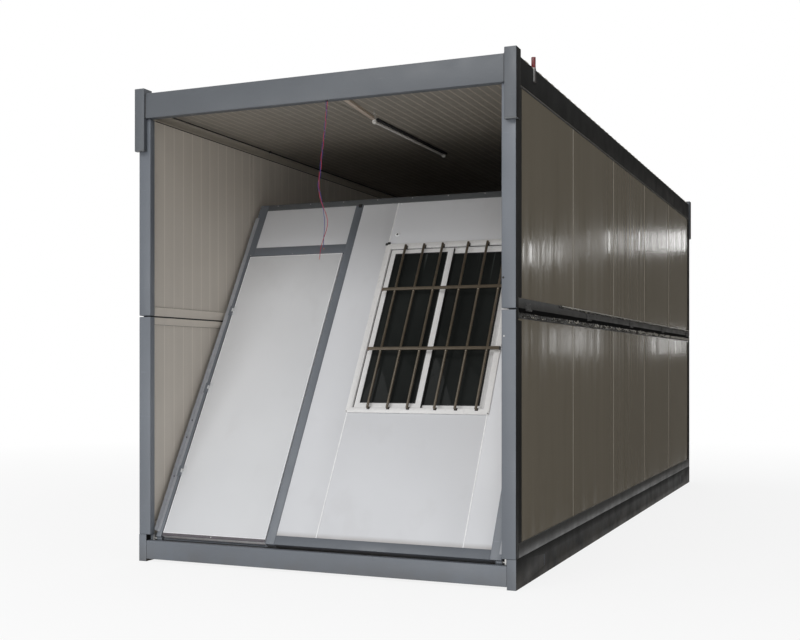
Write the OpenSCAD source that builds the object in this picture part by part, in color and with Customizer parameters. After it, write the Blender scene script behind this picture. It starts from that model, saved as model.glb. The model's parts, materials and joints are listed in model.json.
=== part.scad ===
// Folding container house: base frame, two folding side walls, roof, a front
// end wall that lies down on the floor, and the door in it. All sizes in mm.
// Origin: centre of the footprint at ground level, front towards -Y, +Z up.

/* [Overall] */
// Width over the side wall posts
post_span_w = 2090; // [2000:10:2600]
// Length over the posts
length = 5850; // [4500:50:7200]
// Height from the ground to the top of the roof corners
height = 2550; // [2450:10:3100]

/* [Base frame] */
// Height of the base side beams
base_beam_h = 145; // [135:5:180]
// Width of a base side beam's web
base_beam_w = 45; // [35:5:60]
// Height of the base end beams
base_end_h = 99; // [80:1:105]
// Depth of the base end beams, front to back
base_end_d = 40; // [25:1:42]
// Gap under the base end beams
base_foot_h = 14; // [5:1:25]
// Depth of the lashing slots in the base side beams
slot_depth = 8; // [3:1:20]
// Width of a lashing slot
slot_w = 14; // [8:1:30]
// Height of a lashing slot
slot_h = 56; // [30:1:70]
// Distance from each end of the house to the middle of its slot
slot_from_end = 535; // [200:5:900]

/* [Floor] */
// Height of a floor joist
joist_h = 55; // [40:1:58]
// Width of a floor joist
joist_w = 50; // [30:5:80]
// Number of floor joists
joist_count = 9; // [5:1:15]
// Thickness of the floor deck
deck_t = 18; // [12:1:21]

/* [Side walls] */
// Width of a wall post, seen from the end
post_w = 71; // [70:1:90]
// Depth of a wall post, seen from the side
post_d = 45; // [30:1:60]
// Depth of a wall rail through the wall
rail_w = 60; // [55:1:64]
// Thickness of the wall panels
wall_panel_t = 50; // [40:1:52]
// Setback of the panels from the outer faces of the posts
panel_setback = 4; // [1:1:7]
// Number of panels along each half of a wall
wall_panel_count = 5; // [3:1:8]
// Joint between neighbouring panels
panel_gap = 3; // [1:1:8]
// Height of the bottom rail
bottom_rail_h = 70; // [50:1:100]
// Height of the rail above the fold
fold_rail_upper_h = 51; // [35:1:70]
// Height of the rail below the fold
fold_rail_lower_h = 41; // [30:1:60]
// Height of the fold line above the ground
fold_z = 1324; // [1200:1:1450]
// Gap between the wall halves at the fold
fold_gap = 6; // [4:1:8]
// Number of fold hinges on each side wall
hinge_count = 5; // [3:1:9]
// Radius of a fold hinge's barrel
hinge_r = 5; // [4:1:5]
// Length of a fold hinge
hinge_len = 100; // [60:5:160]
// Height of a fold hinge's leaf
hinge_leaf_h = 32; // [20:1:36]

/* [Roof] */
// Height of the roof beams
roof_beam_h = 135; // [110:1:170]
// Width of a roof side beam's web
roof_beam_w = 45; // [40:1:50]
// Depth of the roof end beams, front to back
roof_end_d = 50; // [35:1:52]
// Distance the roof end beams stand proud of the posts
roof_end_proud = 20; // [18:1:24]
// Height of a lip or ledge on the roof side beams
roof_lip_h = 12; // [6:1:20]
// Height of the ceiling above the underside of the beams
ceiling_raise = 57; // [45:1:70]
// Thickness of the ceiling panels
ceiling_t = 50; // [30:1:60]
// Gap between the ceiling and the webs of the roof side beams
ceiling_clear = 5; // [3:1:8]
// Width of a roof corner, seen from the end
corner_w = 60; // [50:1:70]
// Depth of a roof corner, seen from the side
corner_d = 80; // [60:1:110]
// Distance a roof corner stands proud of the post's front
corner_proud = 30; // [26:1:40]
// Distance a roof corner stands proud of the wall's outer face
corner_side = 10; // [10:1:14]
// Rise of a roof corner above the beams
corner_rise = 27; // [20:1:45]
// Reach of a roof corner down over the post
corner_drop = 170; // [80:5:250]
// Pitch of the corrugations in the roof sheet
wave_pitch = 100; // [60:5:200]
// Height of the corrugations
wave_h = 18; // [12:1:19]
// Thickness of the roof sheet
sheet_t = 3; // [2:0.5:5]
// Setback of the roof sheet from the outer faces of the side beams
sheet_inset = 20; // [16:1:40]

/* [End walls] */
// Thickness of the end walls
end_wall_t = 50; // [40:1:54]
// Lean of the front wall from upright, towards the inside
front_wall_lean = 32.5; // [10:0.5:60]
// Distance from the front posts' faces to the front wall's pivot
pivot_y = 60; // [58:1:80]
// Gap under the upright front wall, above the base end beam
sill_clear = 6; // [5:1:12]
// Gap between the front wall and each post
side_clear = 12; // [8:1:20]
// Gap between the top of the upright front wall and the ceiling
top_clear = 26; // [22:1:60]
// Radius of the pivot pins
pivot_pin_r = 6; // [4:0.5:8]
// Radial clearance of the pivot pins and the door hinge pins
pin_clear = 0.05; // [0.02:0.01:0.1]
// Width of an end wall stile
stile_w = 57; // [45:1:80]
// Width of the stile that shows beside the door
stile_door_w = 30; // [20:1:40]
// Width of the mullion between door and window
mullion_w = 50; // [35:1:70]
// Height of an end wall's bottom rail
sill_rail_h = 52; // [35:1:80]
// Height of an end wall's top rail
top_rail_h = 45; // [30:1:70]
// Setback of the end wall panels from the frame's faces
end_panel_setback = 2; // [0:0.5:5]
// Gap between the edge strips and the side walls' rails
edge_clear = 6; // [5:1:9]
// Thickness of the edge strips
edge_strip_t = 6; // [3:1:10]

/* [Door] */
// Width of the door's opening
door_opening_w = 634; // [580:1:700]
// Height of the door's opening above the wall's pivot line
door_opening_h = 1899; // [1800:1:1950]
// Thickness of the door leaf
leaf_t = 30; // [25:1:32]
// Gap along the leaf's hinge side, top and bottom
leaf_gap = 6; // [5:0.5:9]
// Gap along the leaf's lock side
leaf_lock_gap = 6.5; // [6.5:0.5:9]
// Height of the bar over the door
transom_bar_h = 62; // [40:1:90]
// Thickness of the door stops
stop_t = 12; // [6:1:12]
// Width of the door stops
stop_w = 20; // [12:1:26]
// Number of door hinges
door_hinge_count = 3; // [2:1:4]
// Height of the lowest door hinge's middle
door_hinge_first = 400; // [150:10:600]
// Spacing of the door hinges
door_hinge_pitch = 545; // [400:5:600]
// Radius of a door hinge's barrel
door_barrel_r = 5; // [4:0.5:5.5]
// Radius of a door hinge's pin
door_pin_r = 2.5; // [1.5:0.5:3]

/* [Window] */
// Width of the panel strip between mullion and window
window_strip_w = 226; // [120:1:400]
// Width of the window's frame
window_w = 781; // [600:1:900]
// Height of the window's frame
window_h = 1123; // [700:1:1150]
// Height of the window's sill above the wall's pivot line
window_sill = 806; // [600:1:900]
// Width of the frame's lining
window_lining_w = 24; // [15:1:40]
// Reach of the outer trim beyond the frame
trim_overlap = 11; // [6:1:20]
// Width of the outer trim over the frame
trim_inner_w = 22; // [12:1:24]
// Thickness of the outer trim
trim_t = 6; // [3:1:10]
// Width of a sash's frame
sash_w = 34; // [20:1:50]
// Thickness of a sash
sash_t = 16; // [12:1:18]
// Thickness of the glass
glass_t = 5; // [4:1:8]
// Radius of a guard's upright bar
guard_bar_r = 7; // [5:0.5:8]
// Distance from the wall's face to the middle of the guard's bars
guard_stand_off = 20; // [16:1:22]
// Spacing of the three guard bars in front of each sash
guard_bar_pitch = 113; // [80:1:115]
// Sideways offset of the guard from the window's middle
guard_offset = 30; // [0:1:30]
// Height of a guard's cross bar
guard_cross_h = 18; // [12:1:30]
// Thickness of a guard's cross bar
guard_cross_t = 6; // [4:1:8]
// Heights of the guard's cross bars above the sill
guard_cross_z = [375, 780];
// Reach of the cross bars beyond the outermost bars
guard_cross_reach = 75; // [20:1:80]

/* [Fittings] */
// Length of the ceiling light
light_len = 1220; // [600:10:1500]
// Width of the ceiling light
light_w = 34; // [30:1:80]
// Height of the ceiling light
light_h = 30; // [25:1:60]
// Distance from the front posts' faces to the light
light_y = 745; // [700:5:1500]
// Sideways place of the light
light_x = 30; // [-200:5:200]
// Width of the cable trunking
trunking_w = 24; // [12:1:40]
// Height of the cable trunking
trunking_h = 15; // [8:1:16]
// Distance from the front posts' faces to the trunking
trunking_y = 125; // [100:5:300]
// Sideways run of the trunking between its ends
trunking_slant = 62; // [0:1:100]
// Sideways place of the wire gland
gland_x = 76; // [-200:1:200]
// Distance of the wire gland in front of the posts' faces
gland_forward = 12; // [11:1:13]
// Radius of the wire gland
gland_r = 7; // [6:0.5:7.5]
// Height of the wire gland
gland_h = 6; // [4:1:12]
// Radius of the cable grommet beside the window
grommet_r = 14; // [10:1:20]
// Radius of the grommet's hole
grommet_hole_r = 6; // [3:0.5:8]
// Distance from the front posts' faces to the lifting bar
lift_bar_y = 325; // [150:5:900]
// Width of the lifting bar
lift_bar_w = 22; // [14:1:30]
// Reach of the lifting bar down the side beam
lift_bar_drop = 72; // [40:1:100]
// Radius of the lifting bar's knob
lift_knob_r = 11; // [8:0.5:11]
// Height of the lifting bar's knob
lift_knob_h = 54; // [30:1:70]

/* [Hidden] */
$fn = 48;

// Levels
base_end_top = base_foot_h + base_end_h;
joist_top = base_foot_h + joist_h;
floor_z = joist_top + deck_t;
roof_beam_top = height - corner_rise;
roof_beam_z = roof_beam_top - roof_beam_h;
ceiling_z = roof_beam_z + ceiling_raise;
fold_low_z = fold_z - fold_gap / 2;
fold_high_z = fold_z + fold_gap / 2;
pivot_z = base_end_top + sill_clear;

// Places across the house
half_w = post_span_w / 2;
post_inner_x = half_w - post_w;
rail_inner_x = half_w - rail_w;
web_inner_x = half_w - base_beam_w;
roof_web_inner_x = half_w - roof_beam_w;
corner_outer_x = half_w + corner_side;
corner_inner_x = corner_outer_x - corner_w;

// Places along the house
front_y = -length / 2;
panel_run = length - 2 * post_d;
panel_pitch = (panel_run + panel_gap) / wall_panel_count;
corner_back_y = corner_d - corner_proud;

// Front wall, in its own frame: x across, y through the wall, z up along it
front_wall_h = ceiling_z - top_clear - pivot_z;
end_half_w = post_inner_x - side_clear;
outer_y = -end_wall_t / 2;
inner_y = end_wall_t / 2;
stile_inner_x = end_half_w - stile_w;
door_left_x = -end_half_w + stile_door_w;
door_right_x = door_left_x + door_opening_w;
mullion_right_x = door_right_x + mullion_w;
window_left_x = mullion_right_x + window_strip_w + panel_gap;
window_right_x = window_left_x + window_w;
window_mid_x = (window_left_x + window_right_x) / 2;
window_top = window_sill + window_h;
upper_rail_z = front_wall_h - top_rail_h;
stop_y = inner_y - stop_t;
lug_r = 2 * pivot_pin_r + 1;
lug_w = 30;
pivot_plate_t = 8;
pin_end_gap = 2;

// Door hinge line
hinge_axis_x = door_left_x + leaf_gap / 2;
hinge_axis_y = outer_y - door_barrel_r - 1;
knuckle_h = 22;
knuckle_gap = 1;
hinge_plate_t = 2;
hinge_plate_w = 20;

// Wires that hang from the front beam: x, y, z in the house's own frame
wire_r = 1.5;
wire_sides = 8;
red_points = [
    [79, -2937, 2382], [79, -2937, 2370], [75, -2934, 2345], [71, -2937, 2320],
    [71, -2940, 2295], [72, -2937, 2270], [66, -2934, 2245], [60, -2937, 2220],
    [59, -2940, 2195], [59, -2937, 2170], [52, -2934, 2145], [47, -2937, 2120],
    [46, -2940, 2095], [47, -2937, 2070], [42, -2934, 2045], [36, -2937, 2020],
    [35, -2940, 1995], [34, -2937, 1970], [33, -2934, 1945], [36, -2937, 1920],
    [43, -2940, 1895], [52, -2940, 1870], [62, -2940, 1845], [72, -2939, 1820],
    [79, -2938, 1795], [81, -2938, 1770], [77, -2938, 1745], [69, -2939, 1720],
    [60, -2940, 1695], [51, -2939, 1670], [45, -2938, 1650], [40, -2937, 1625],
    [37, -2937, 1600]
];
blue_points = [
    [73, -2937, 2382], [73, -2937, 2370], [75, -2940, 2345], [77, -2937, 2320],
    [71, -2934, 2295], [66, -2937, 2270], [66, -2940, 2245], [66, -2937, 2220],
    [59, -2934, 2195], [53, -2937, 2170], [52, -2940, 2145], [53, -2937, 2120],
    [46, -2934, 2095], [41, -2937, 2070], [42, -2940, 2045], [42, -2937, 2020],
    [35, -2934, 1995], [28, -2937, 1970], [33, -2940, 1945], [42, -2937, 1920],
    [45, -2934, 1895], [50, -2932, 1870], [55, -2932, 1845], [58, -2932, 1820],
    [61, -2932, 1795], [62, -2932, 1770], [61, -2932, 1745], [59, -2932, 1720],
    [57, -2932, 1695], [57, -2932, 1670], [58, -2932, 1650]
];

// A box given by its lowest and highest corners
module block(low, high) {
    translate(low) cube(high - low);
}

// Puts a child at a distance behind the front posts' faces
module behind_front(distance) {
    translate([0, front_y + distance, 0]) children();
}

// Draws a child at the front and again, turned, at the rear
module both_ends() {
    children();
    mirror([0, 1, 0]) children();
}

// Draws a right-hand child on the side that is asked for: 1 right, -1 left
module on_side(side) {
    mirror([side < 0 ? 1 : 0, 0, 0]) children();
}

// Puts the front wall's own frame at its pivot, leaning inwards
module on_front_wall() {
    translate([0, front_y + pivot_y, pivot_z]) rotate([-front_wall_lean, 0, 0]) children();
}

// A bar along X, between two places across the house
module bar_x(x0, x1, r) {
    translate([x0, 0, 0]) rotate([0, 90, 0]) cylinder(h = x1 - x0, r = r);
}

// ---- Base frame and floor ----

module base_end_beam() {
    block([-web_inner_x, front_y, base_foot_h], [web_inner_x, front_y + base_end_d, base_end_top]);
}

module base_front_beam() {
    color("slategray") base_end_beam();
}

module base_rear_beam() {
    color("slategray") mirror([0, 1, 0]) base_end_beam();
}

// Web over the whole length, and a flange that carries the wall's bottom rail
module base_side_beam() {
    difference() {
        union() {
            block([web_inner_x, front_y, 0], [half_w, -front_y, base_beam_h]);
            block([rail_inner_x, front_y + post_d, base_end_top], [half_w, -front_y - post_d, base_beam_h]);
        }
        both_ends() lashing_slot();
    }
}

module lashing_slot() {
    behind_front(slot_from_end) translate([half_w - slot_depth, -slot_w / 2, base_foot_h + slot_h / 2])
        cube([2 * slot_depth, slot_w, slot_h]);
}

module base_left_beam() {
    color("dimgray") on_side(-1) base_side_beam();
}

module base_right_beam() {
    color("dimgray") on_side(1) base_side_beam();
}

module floor_joists() {
    run = length - 2 * base_end_d - joist_w;
    color("dimgray")
        for (i = [1 : joist_count])
            behind_front(base_end_d + run * i / (joist_count + 1))
                block([-web_inner_x, 0, base_foot_h], [web_inner_x, joist_w, joist_top]);
}

module floor_deck() {
    color("tan")
        block([-web_inner_x, front_y + base_end_d, joist_top], [web_inner_x, -front_y - base_end_d, floor_z]);
}

// ---- Side walls ----

module wall_posts() {
    both_ends() {
        block([post_inner_x, front_y, base_beam_h], [half_w, front_y + post_d, fold_low_z]);
        block([post_inner_x, front_y, fold_high_z], [half_w, front_y + post_d, roof_beam_z]);
    }
}

module wall_rail(z0, z1) {
    block([rail_inner_x, front_y + post_d, z0], [half_w, -front_y - post_d, z1]);
}

module wall_rails() {
    wall_rail(base_beam_h, base_beam_h + bottom_rail_h);
    wall_rail(fold_low_z - fold_rail_lower_h, fold_low_z);
    wall_rail(fold_high_z, fold_high_z + fold_rail_upper_h);
}

module wall_panel_row(z0, z1) {
    outer_x = half_w - panel_setback;
    for (i = [0 : wall_panel_count - 1])
        behind_front(post_d + i * panel_pitch)
            block([outer_x - wall_panel_t, 0, z0], [outer_x, panel_pitch - panel_gap, z1]);
}

module wall_panels() {
    wall_panel_row(base_beam_h + bottom_rail_h, fold_low_z - fold_rail_lower_h);
    wall_panel_row(fold_high_z + fold_rail_upper_h, roof_beam_z);
}

// Two leaves on the rails' outer faces, and the barrel that lies between them
module fold_hinge() {
    leaf_z = fold_gap / 2;
    translate([half_w, -hinge_len / 2, fold_z]) {
        difference() {
            union() {
                translate([0, 0, leaf_z]) cube([hinge_plate_t, hinge_len, hinge_leaf_h]);
                translate([0, 0, -leaf_z - hinge_leaf_h]) cube([hinge_plate_t, hinge_len, hinge_leaf_h]);
                translate([hinge_r, 0, 0]) rotate([-90, 0, 0]) cylinder(h = hinge_len, r = hinge_r);
            }
            for (k = [1 : 2])
                translate([0, hinge_len * k / 3 - knuckle_gap / 2, 0]) fold_knuckle_cut();
        }
    }
}

// The groove between two knuckles of a fold hinge
module fold_knuckle_cut() {
    translate([hinge_r, 0, 0]) rotate([-90, 0, 0])
        difference() {
            cylinder(h = knuckle_gap, r = hinge_r + 1);
            translate([0, 0, -1]) cylinder(h = knuckle_gap + 2, r = hinge_r - 1.5);
        }
}

module fold_hinges() {
    for (i = [0 : hinge_count - 1])
        behind_front(post_d + panel_run * (i + 0.12) / (hinge_count - 0.76)) fold_hinge();
}

module left_wall_posts() {
    color("slategray") on_side(-1) wall_posts();
}

module left_wall_rails() {
    color("dimgray") on_side(-1) wall_rails();
}

module left_wall_panels() {
    color("tan") on_side(-1) wall_panels();
}

module left_fold_hinges() {
    color("gray") on_side(-1) fold_hinges();
}

module right_wall_posts() {
    color("slategray") on_side(1) wall_posts();
}

module right_wall_rails() {
    color("dimgray") on_side(1) wall_rails();
}

module right_wall_panels() {
    color("tan") on_side(1) wall_panels();
}

module right_fold_hinges() {
    color("gray") on_side(1) fold_hinges();
}

// ---- Roof ----

module roof_end_beam() {
    block([-corner_inner_x, front_y - roof_end_proud, roof_beam_z],
        [corner_inner_x, front_y - roof_end_proud + roof_end_d, roof_beam_top]);
}

module roof_front_beam() {
    color("slategray") roof_end_beam();
}

module roof_rear_beam() {
    color("slategray") mirror([0, 1, 0]) roof_end_beam();
}

// Web with a lip over the wall and a ledge that carries the ceiling
module roof_side_beam() {
    ledge_w = rail_w - roof_beam_w;
    start = front_y + corner_back_y;
    translate([0, start, 0]) rotate([90, 0, 180]) mirror([1, 0, 0])
        linear_extrude(-2 * start)
            polygon([
                [half_w, roof_beam_z], [half_w, roof_beam_top],
                [roof_web_inner_x, roof_beam_top], [roof_web_inner_x, ceiling_z],
                [roof_web_inner_x - ledge_w, ceiling_z],
                [roof_web_inner_x - ledge_w, ceiling_z - roof_lip_h],
                [roof_web_inner_x, ceiling_z - roof_lip_h],
                [roof_web_inner_x, roof_beam_z + roof_lip_h],
                [roof_web_inner_x - ledge_w, roof_beam_z + roof_lip_h],
                [roof_web_inner_x - ledge_w, roof_beam_z]
            ]);
}

module roof_left_beam() {
    color("dimgray") on_side(-1) roof_side_beam();
}

module roof_right_beam() {
    color("dimgray") on_side(1) roof_side_beam();
}

// Solid beside the beams, and an angle that laps down over the post
module roof_corner() {
    front = front_y - corner_proud;
    back = front_y + corner_back_y;
    block([corner_inner_x, front, roof_beam_z], [corner_outer_x, back, height]);
    block([corner_inner_x, front, roof_beam_z - corner_drop], [corner_outer_x, front_y, roof_beam_z]);
    block([half_w, front, roof_beam_z - corner_drop], [corner_outer_x, back, roof_beam_z]);
}

module roof_corners() {
    color("slategray")
        for (side = [-1, 1])
            on_side(side) both_ends() roof_corner();
}

// Two panels on the side beams' ledges, notched where a wide corner reaches in
module ceiling_panels() {
    edge_y = front_y - roof_end_proud + roof_end_d;
    edge_x = roof_web_inner_x - ceiling_clear;
    color("linen")
        for (side = [-1, 1])
            on_side(side)
                difference() {
                    block([panel_gap / 2, edge_y, ceiling_z], [edge_x, -edge_y, ceiling_z + ceiling_t]);
                    if (corner_inner_x < edge_x) both_ends() roof_corner();
                }
}

// One wave is low, rises, is high and falls again; the sheet is the band between
// this line and the same line one thickness higher
function wave_line(count, lift) = [
    for (i = [0 : count - 1], k = [0 : 3])
        [(i + [0.05, 0.35, 0.55, 0.85][k]) * wave_pitch, lift + [0, 0, 1, 1][k] * (wave_h - sheet_t)]
];

function backwards(list) = [for (i = [len(list) - 1 : -1 : 0]) list[i]];

module roof_sheet() {
    edge_y = front_y - roof_end_proud + roof_end_d;
    count = floor(-2 * edge_y / wave_pitch);
    start = -count * wave_pitch / 2;
    half = half_w - sheet_inset;
    color("slategray")
        difference() {
            translate([-half, start, roof_beam_top]) rotate([90, 0, 90])
                linear_extrude(2 * half)
                    polygon(concat(wave_line(count, 0), backwards(wave_line(count, sheet_t))));
            for (side = [-1, 1])
                on_side(side) both_ends() corner_notch();
        }
}

// Room in the roof sheet for a roof corner
module corner_notch() {
    around = 3;
    block([corner_inner_x - around, front_y - corner_proud, roof_beam_top - around],
        [corner_outer_x, front_y + corner_back_y + around, height + around]);
}

// ---- Rear wall ----

rear_outer_y = -front_y - pivot_y - outer_y;
rear_inner_y = rear_outer_y - end_wall_t;
rear_stile_x = post_inner_x - stile_w;

module rear_wall_stiles() {
    color("slategray")
        for (side = [-1, 1])
            on_side(side)
                block([rear_stile_x, rear_inner_y, base_end_top], [post_inner_x, rear_outer_y, ceiling_z]);
}

module rear_wall_rails() {
    color("slategray") {
        block([-rear_stile_x, rear_inner_y, base_end_top],
            [rear_stile_x, rear_outer_y, base_end_top + sill_rail_h]);
        block([-rear_stile_x, rear_inner_y, ceiling_z - top_rail_h], [rear_stile_x, rear_outer_y, ceiling_z]);
    }
}

module rear_wall_panels() {
    color("lightgray")
        for (side = [-1, 1])
            on_side(side)
                block([panel_gap / 2, rear_inner_y + end_panel_setback, base_end_top + sill_rail_h],
                    [rear_stile_x, rear_outer_y - end_panel_setback, ceiling_z - top_rail_h]);
}

// ---- Fittings ----

module ceiling_light() {
    color("ivory")
        behind_front(light_y)
            block([light_x - light_w / 2, 0, ceiling_z - light_h], [light_x + light_w / 2, light_len, ceiling_z]);
}

// Runs under the ceiling, a little aslant, and ends at the light
module cable_trunking() {
    run = light_y - trunking_y - trunking_w;
    angle = atan(trunking_slant / run);
    color("ivory")
        behind_front(trunking_y)
            translate([light_x + trunking_slant, 0, ceiling_z - trunking_h])
                rotate([0, 0, angle])
                    translate([-trunking_w / 2, 0, 0])
                        cube([trunking_w, run / cos(angle), trunking_h]);
}

module wire_gland() {
    color("black")
        translate([gland_x, front_y - gland_forward, roof_beam_z - gland_h]) cylinder(h = gland_h, r = gland_r);
}

// A ring of points around one point of a route, square to the route there
function unit(v) = v / norm(v);
function route_way(route, i) = unit(route[min(i + 1, len(route) - 1)] - route[max(i - 1, 0)]);
function route_ring(route, i) =
    let (way = route_way(route, i), side = unit(cross([0, 1, 0], way)), up = cross(way, side))
    [for (k = [0 : wire_sides - 1])
        route[i] + wire_r * (cos(360 * k / wire_sides) * side + sin(360 * k / wire_sides) * up)];

// A round wire along a route of points
module wire(route) {
    rings = len(route);
    first = [for (k = [0 : wire_sides - 1]) k];
    last = [for (k = [wire_sides - 1 : -1 : 0]) (rings - 1) * wire_sides + k];
    sides = [
        for (i = [0 : rings - 2], k = [0 : wire_sides - 1])
            [i * wire_sides + k, (i + 1) * wire_sides + k,
                (i + 1) * wire_sides + (k + 1) % wire_sides, i * wire_sides + (k + 1) % wire_sides]
    ];
    polyhedron([for (i = [0 : rings - 1]) each route_ring(route, i)], concat([first], sides, [last]));
}

module wire_red() {
    color("firebrick") wire(red_points);
}

module wire_blue() {
    color("royalblue") wire(blue_points);
}

// Flat bar on the side beam's outer face, and a knob that stands on the beam
module lifting_bar() {
    knob_x = corner_outer_x - lift_knob_r - 1;
    color("firebrick")
        behind_front(lift_bar_y) {
            block([half_w, -lift_bar_w / 2, roof_beam_top - lift_bar_drop],
                [half_w + corner_side - 2, lift_bar_w / 2, roof_beam_top]);
            translate([knob_x, 0, roof_beam_top]) cylinder(h = lift_knob_h, r = lift_knob_r);
        }
}

// ---- Front wall ----

// Plates fixed inside the side walls' feet, with the pins the front wall turns on
module front_wall_pivots() {
    plate_inner_x = rail_inner_x - pivot_plate_t;
    pin_x = end_half_w - lug_w + pin_end_gap + 4;
    plate_up = base_beam_h;
    color("gray")
        for (side = [-1, 1])
            on_side(side) {
                block([plate_inner_x, front_y + post_d, floor_z], [rail_inner_x, front_y + post_d + 45, plate_up]);
                translate([0, front_y + pivot_y, pivot_z]) bar_x(pin_x, plate_inner_x, pivot_pin_r);
            }
}

// A lug round the pivot at the foot of a stile
module pivot_lug() {
    bar_x(end_half_w - lug_w, end_half_w, lug_r);
}

// The bore of a lug, open to the side wall
module pivot_bore() {
    bar_x(end_half_w - lug_w + 4, end_half_w + 1, pivot_pin_r + pin_clear);
}

module front_wall_stiles() {
    color("slategray") on_front_wall() {
        difference() {
            union() {
                block([-end_half_w, outer_y, 0], [door_left_x, inner_y, front_wall_h]);
                block([-end_half_w, stop_y, 0], [-stile_inner_x, inner_y, door_opening_h]);
                block([-end_half_w, outer_y, door_opening_h], [-stile_inner_x, inner_y, front_wall_h]);
                mirror([1, 0, 0]) pivot_lug();
            }
            mirror([1, 0, 0]) pivot_bore();
        }
        difference() {
            union() {
                block([stile_inner_x, outer_y, 0], [end_half_w, inner_y, front_wall_h]);
                pivot_lug();
            }
            pivot_bore();
        }
    }
}

module front_wall_mullion() {
    color("slategray") on_front_wall() {
        block([door_right_x, outer_y, 0], [mullion_right_x, inner_y, upper_rail_z]);
        block([door_right_x - stop_w, stop_y, 0], [door_right_x, inner_y, door_opening_h]);
    }
}

module front_wall_transom_bar() {
    color("slategray") on_front_wall() {
        block([-stile_inner_x, outer_y, door_opening_h], [door_right_x, inner_y, door_opening_h + transom_bar_h]);
        block([-stile_inner_x, stop_y, door_opening_h - stop_w], [door_right_x - stop_w, inner_y, door_opening_h]);
    }
}

// Top rail, bottom rail beside the door, and the threshold behind the door
module front_wall_rails() {
    color("slategray") on_front_wall() {
        block([-stile_inner_x, outer_y, upper_rail_z], [stile_inner_x, inner_y, front_wall_h]);
        block([mullion_right_x, outer_y, 0], [stile_inner_x, inner_y, sill_rail_h]);
        block([-stile_inner_x, stop_y, 0], [door_right_x - stop_w, inner_y, stop_w]);
    }
}

module end_panel(x0, x1, z0, z1) {
    block([x0, outer_y + end_panel_setback, z0], [x1, inner_y - end_panel_setback, z1]);
}

// Over the door, left of the window, under it, over it and right of it
module front_wall_panels() {
    strip_right_x = mullion_right_x + window_strip_w;
    color("whitesmoke") on_front_wall() {
        end_panel(-stile_inner_x, door_right_x, door_opening_h + transom_bar_h, upper_rail_z);
        end_panel(mullion_right_x, strip_right_x, sill_rail_h, upper_rail_z);
        end_panel(window_left_x, window_right_x, sill_rail_h, window_sill);
        end_panel(window_left_x, window_right_x, window_top, upper_rail_z);
        end_panel(window_right_x + panel_gap, stile_inner_x, sill_rail_h, upper_rail_z);
    }
}

// Strips that close the gap between the stiles and the side walls
module front_wall_edge_strips() {
    color("tan") on_front_wall()
        for (side = [-1, 1])
            on_side(side)
                block([end_half_w, inner_y - edge_strip_t, sill_rail_h + stop_w],
                    [rail_inner_x - edge_clear, inner_y, upper_rail_z]);
}

// A rectangular ring between an outer outline and one set in by a width
module ring_xz(x0, x1, z0, z1, width, y0, y1) {
    difference() {
        block([x0, y0, z0], [x1, y1, z1]);
        block([x0 + width, y0 - 1, z0 + width], [x1 - width, y1 + 1, z1 - width]);
    }
}

// Lining through the wall, and the trim that covers the joint outside
module window_frame() {
    color("white") on_front_wall() {
        ring_xz(window_left_x, window_right_x, window_sill, window_top, window_lining_w, outer_y, inner_y);
        ring_xz(window_left_x - trim_overlap, window_right_x + trim_overlap,
            window_sill - trim_overlap, window_top + trim_overlap,
            trim_overlap + trim_inner_w, outer_y - trim_t, outer_y);
    }
}

// Places of the two sliding sashes: they pass each other at the window's middle
sash_z0 = window_sill + window_lining_w;
sash_z1 = window_top - window_lining_w;
sash_lap = sash_w / 2;
sash_front_y = outer_y + 6;
sash_track = sash_t + 2;

module placed_sash(left) {
    x0 = left ? window_left_x + window_lining_w : window_mid_x - sash_lap;
    translate([x0, sash_front_y + (left ? 0 : sash_track), 0]) children();
}

sash_run = window_mid_x + sash_lap - window_left_x - window_lining_w;

module window_sashes() {
    color("white") on_front_wall()
        for (left = [true, false])
            placed_sash(left) ring_xz(0, sash_run, sash_z0, sash_z1, sash_w, 0, sash_t);
}

module window_glass() {
    glass_y = (sash_t - glass_t) / 2;
    color("darkslategray") on_front_wall()
        for (left = [true, false])
            placed_sash(left)
                block([sash_w, glass_y, sash_z0 + sash_w], [sash_run - sash_w, glass_y + glass_t, sash_z1 - sash_w]);
}

// Upright bars on short studs from the trim, and two flat cross bars in front
module window_guard() {
    bar_y = outer_y - guard_stand_off;
    sash_mid = window_w / 4 - window_lining_w / 4;
    z0 = window_sill + 12;
    z1 = window_top - 12;
    reach = sash_mid + guard_bar_pitch + guard_cross_reach;
    cross_y = bar_y - guard_bar_r;
    color("saddlebrown") on_front_wall() translate([window_mid_x + guard_offset, 0, 0]) {
        for (sash = [-1, 1], k = [-1 : 1])
            translate([sash * sash_mid + k * guard_bar_pitch, 0, 0]) {
                translate([0, bar_y, z0]) cylinder(h = z1 - z0, r = guard_bar_r);
                for (z = [z0 + guard_bar_r, z1 - guard_bar_r])
                    translate([0, bar_y, z]) rotate([-90, 0, 0])
                        cylinder(h = guard_stand_off - trim_t, r = guard_bar_r - 1);
            }
        for (z = guard_cross_z)
            block([-reach, cross_y - guard_cross_t + 1, window_sill + z],
                [reach, cross_y + 1, window_sill + z + guard_cross_h]);
    }
}

module cable_grommet() {
    grommet_z = window_top + 84;
    face_y = outer_y + end_panel_setback;
    color("white") on_front_wall()
        translate([window_left_x + 40, face_y, grommet_z]) rotate([90, 0, 0])
            difference() {
                cylinder(h = 5, r = grommet_r);
                translate([0, 0, 1]) cylinder(h = 5, r = grommet_hole_r);
            }
}

// ---- Door ----

module at_door_hinges() {
    for (i = [0 : door_hinge_count - 1])
        translate([hinge_axis_x, hinge_axis_y, door_hinge_first + i * door_hinge_pitch]) children();
}

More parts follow.
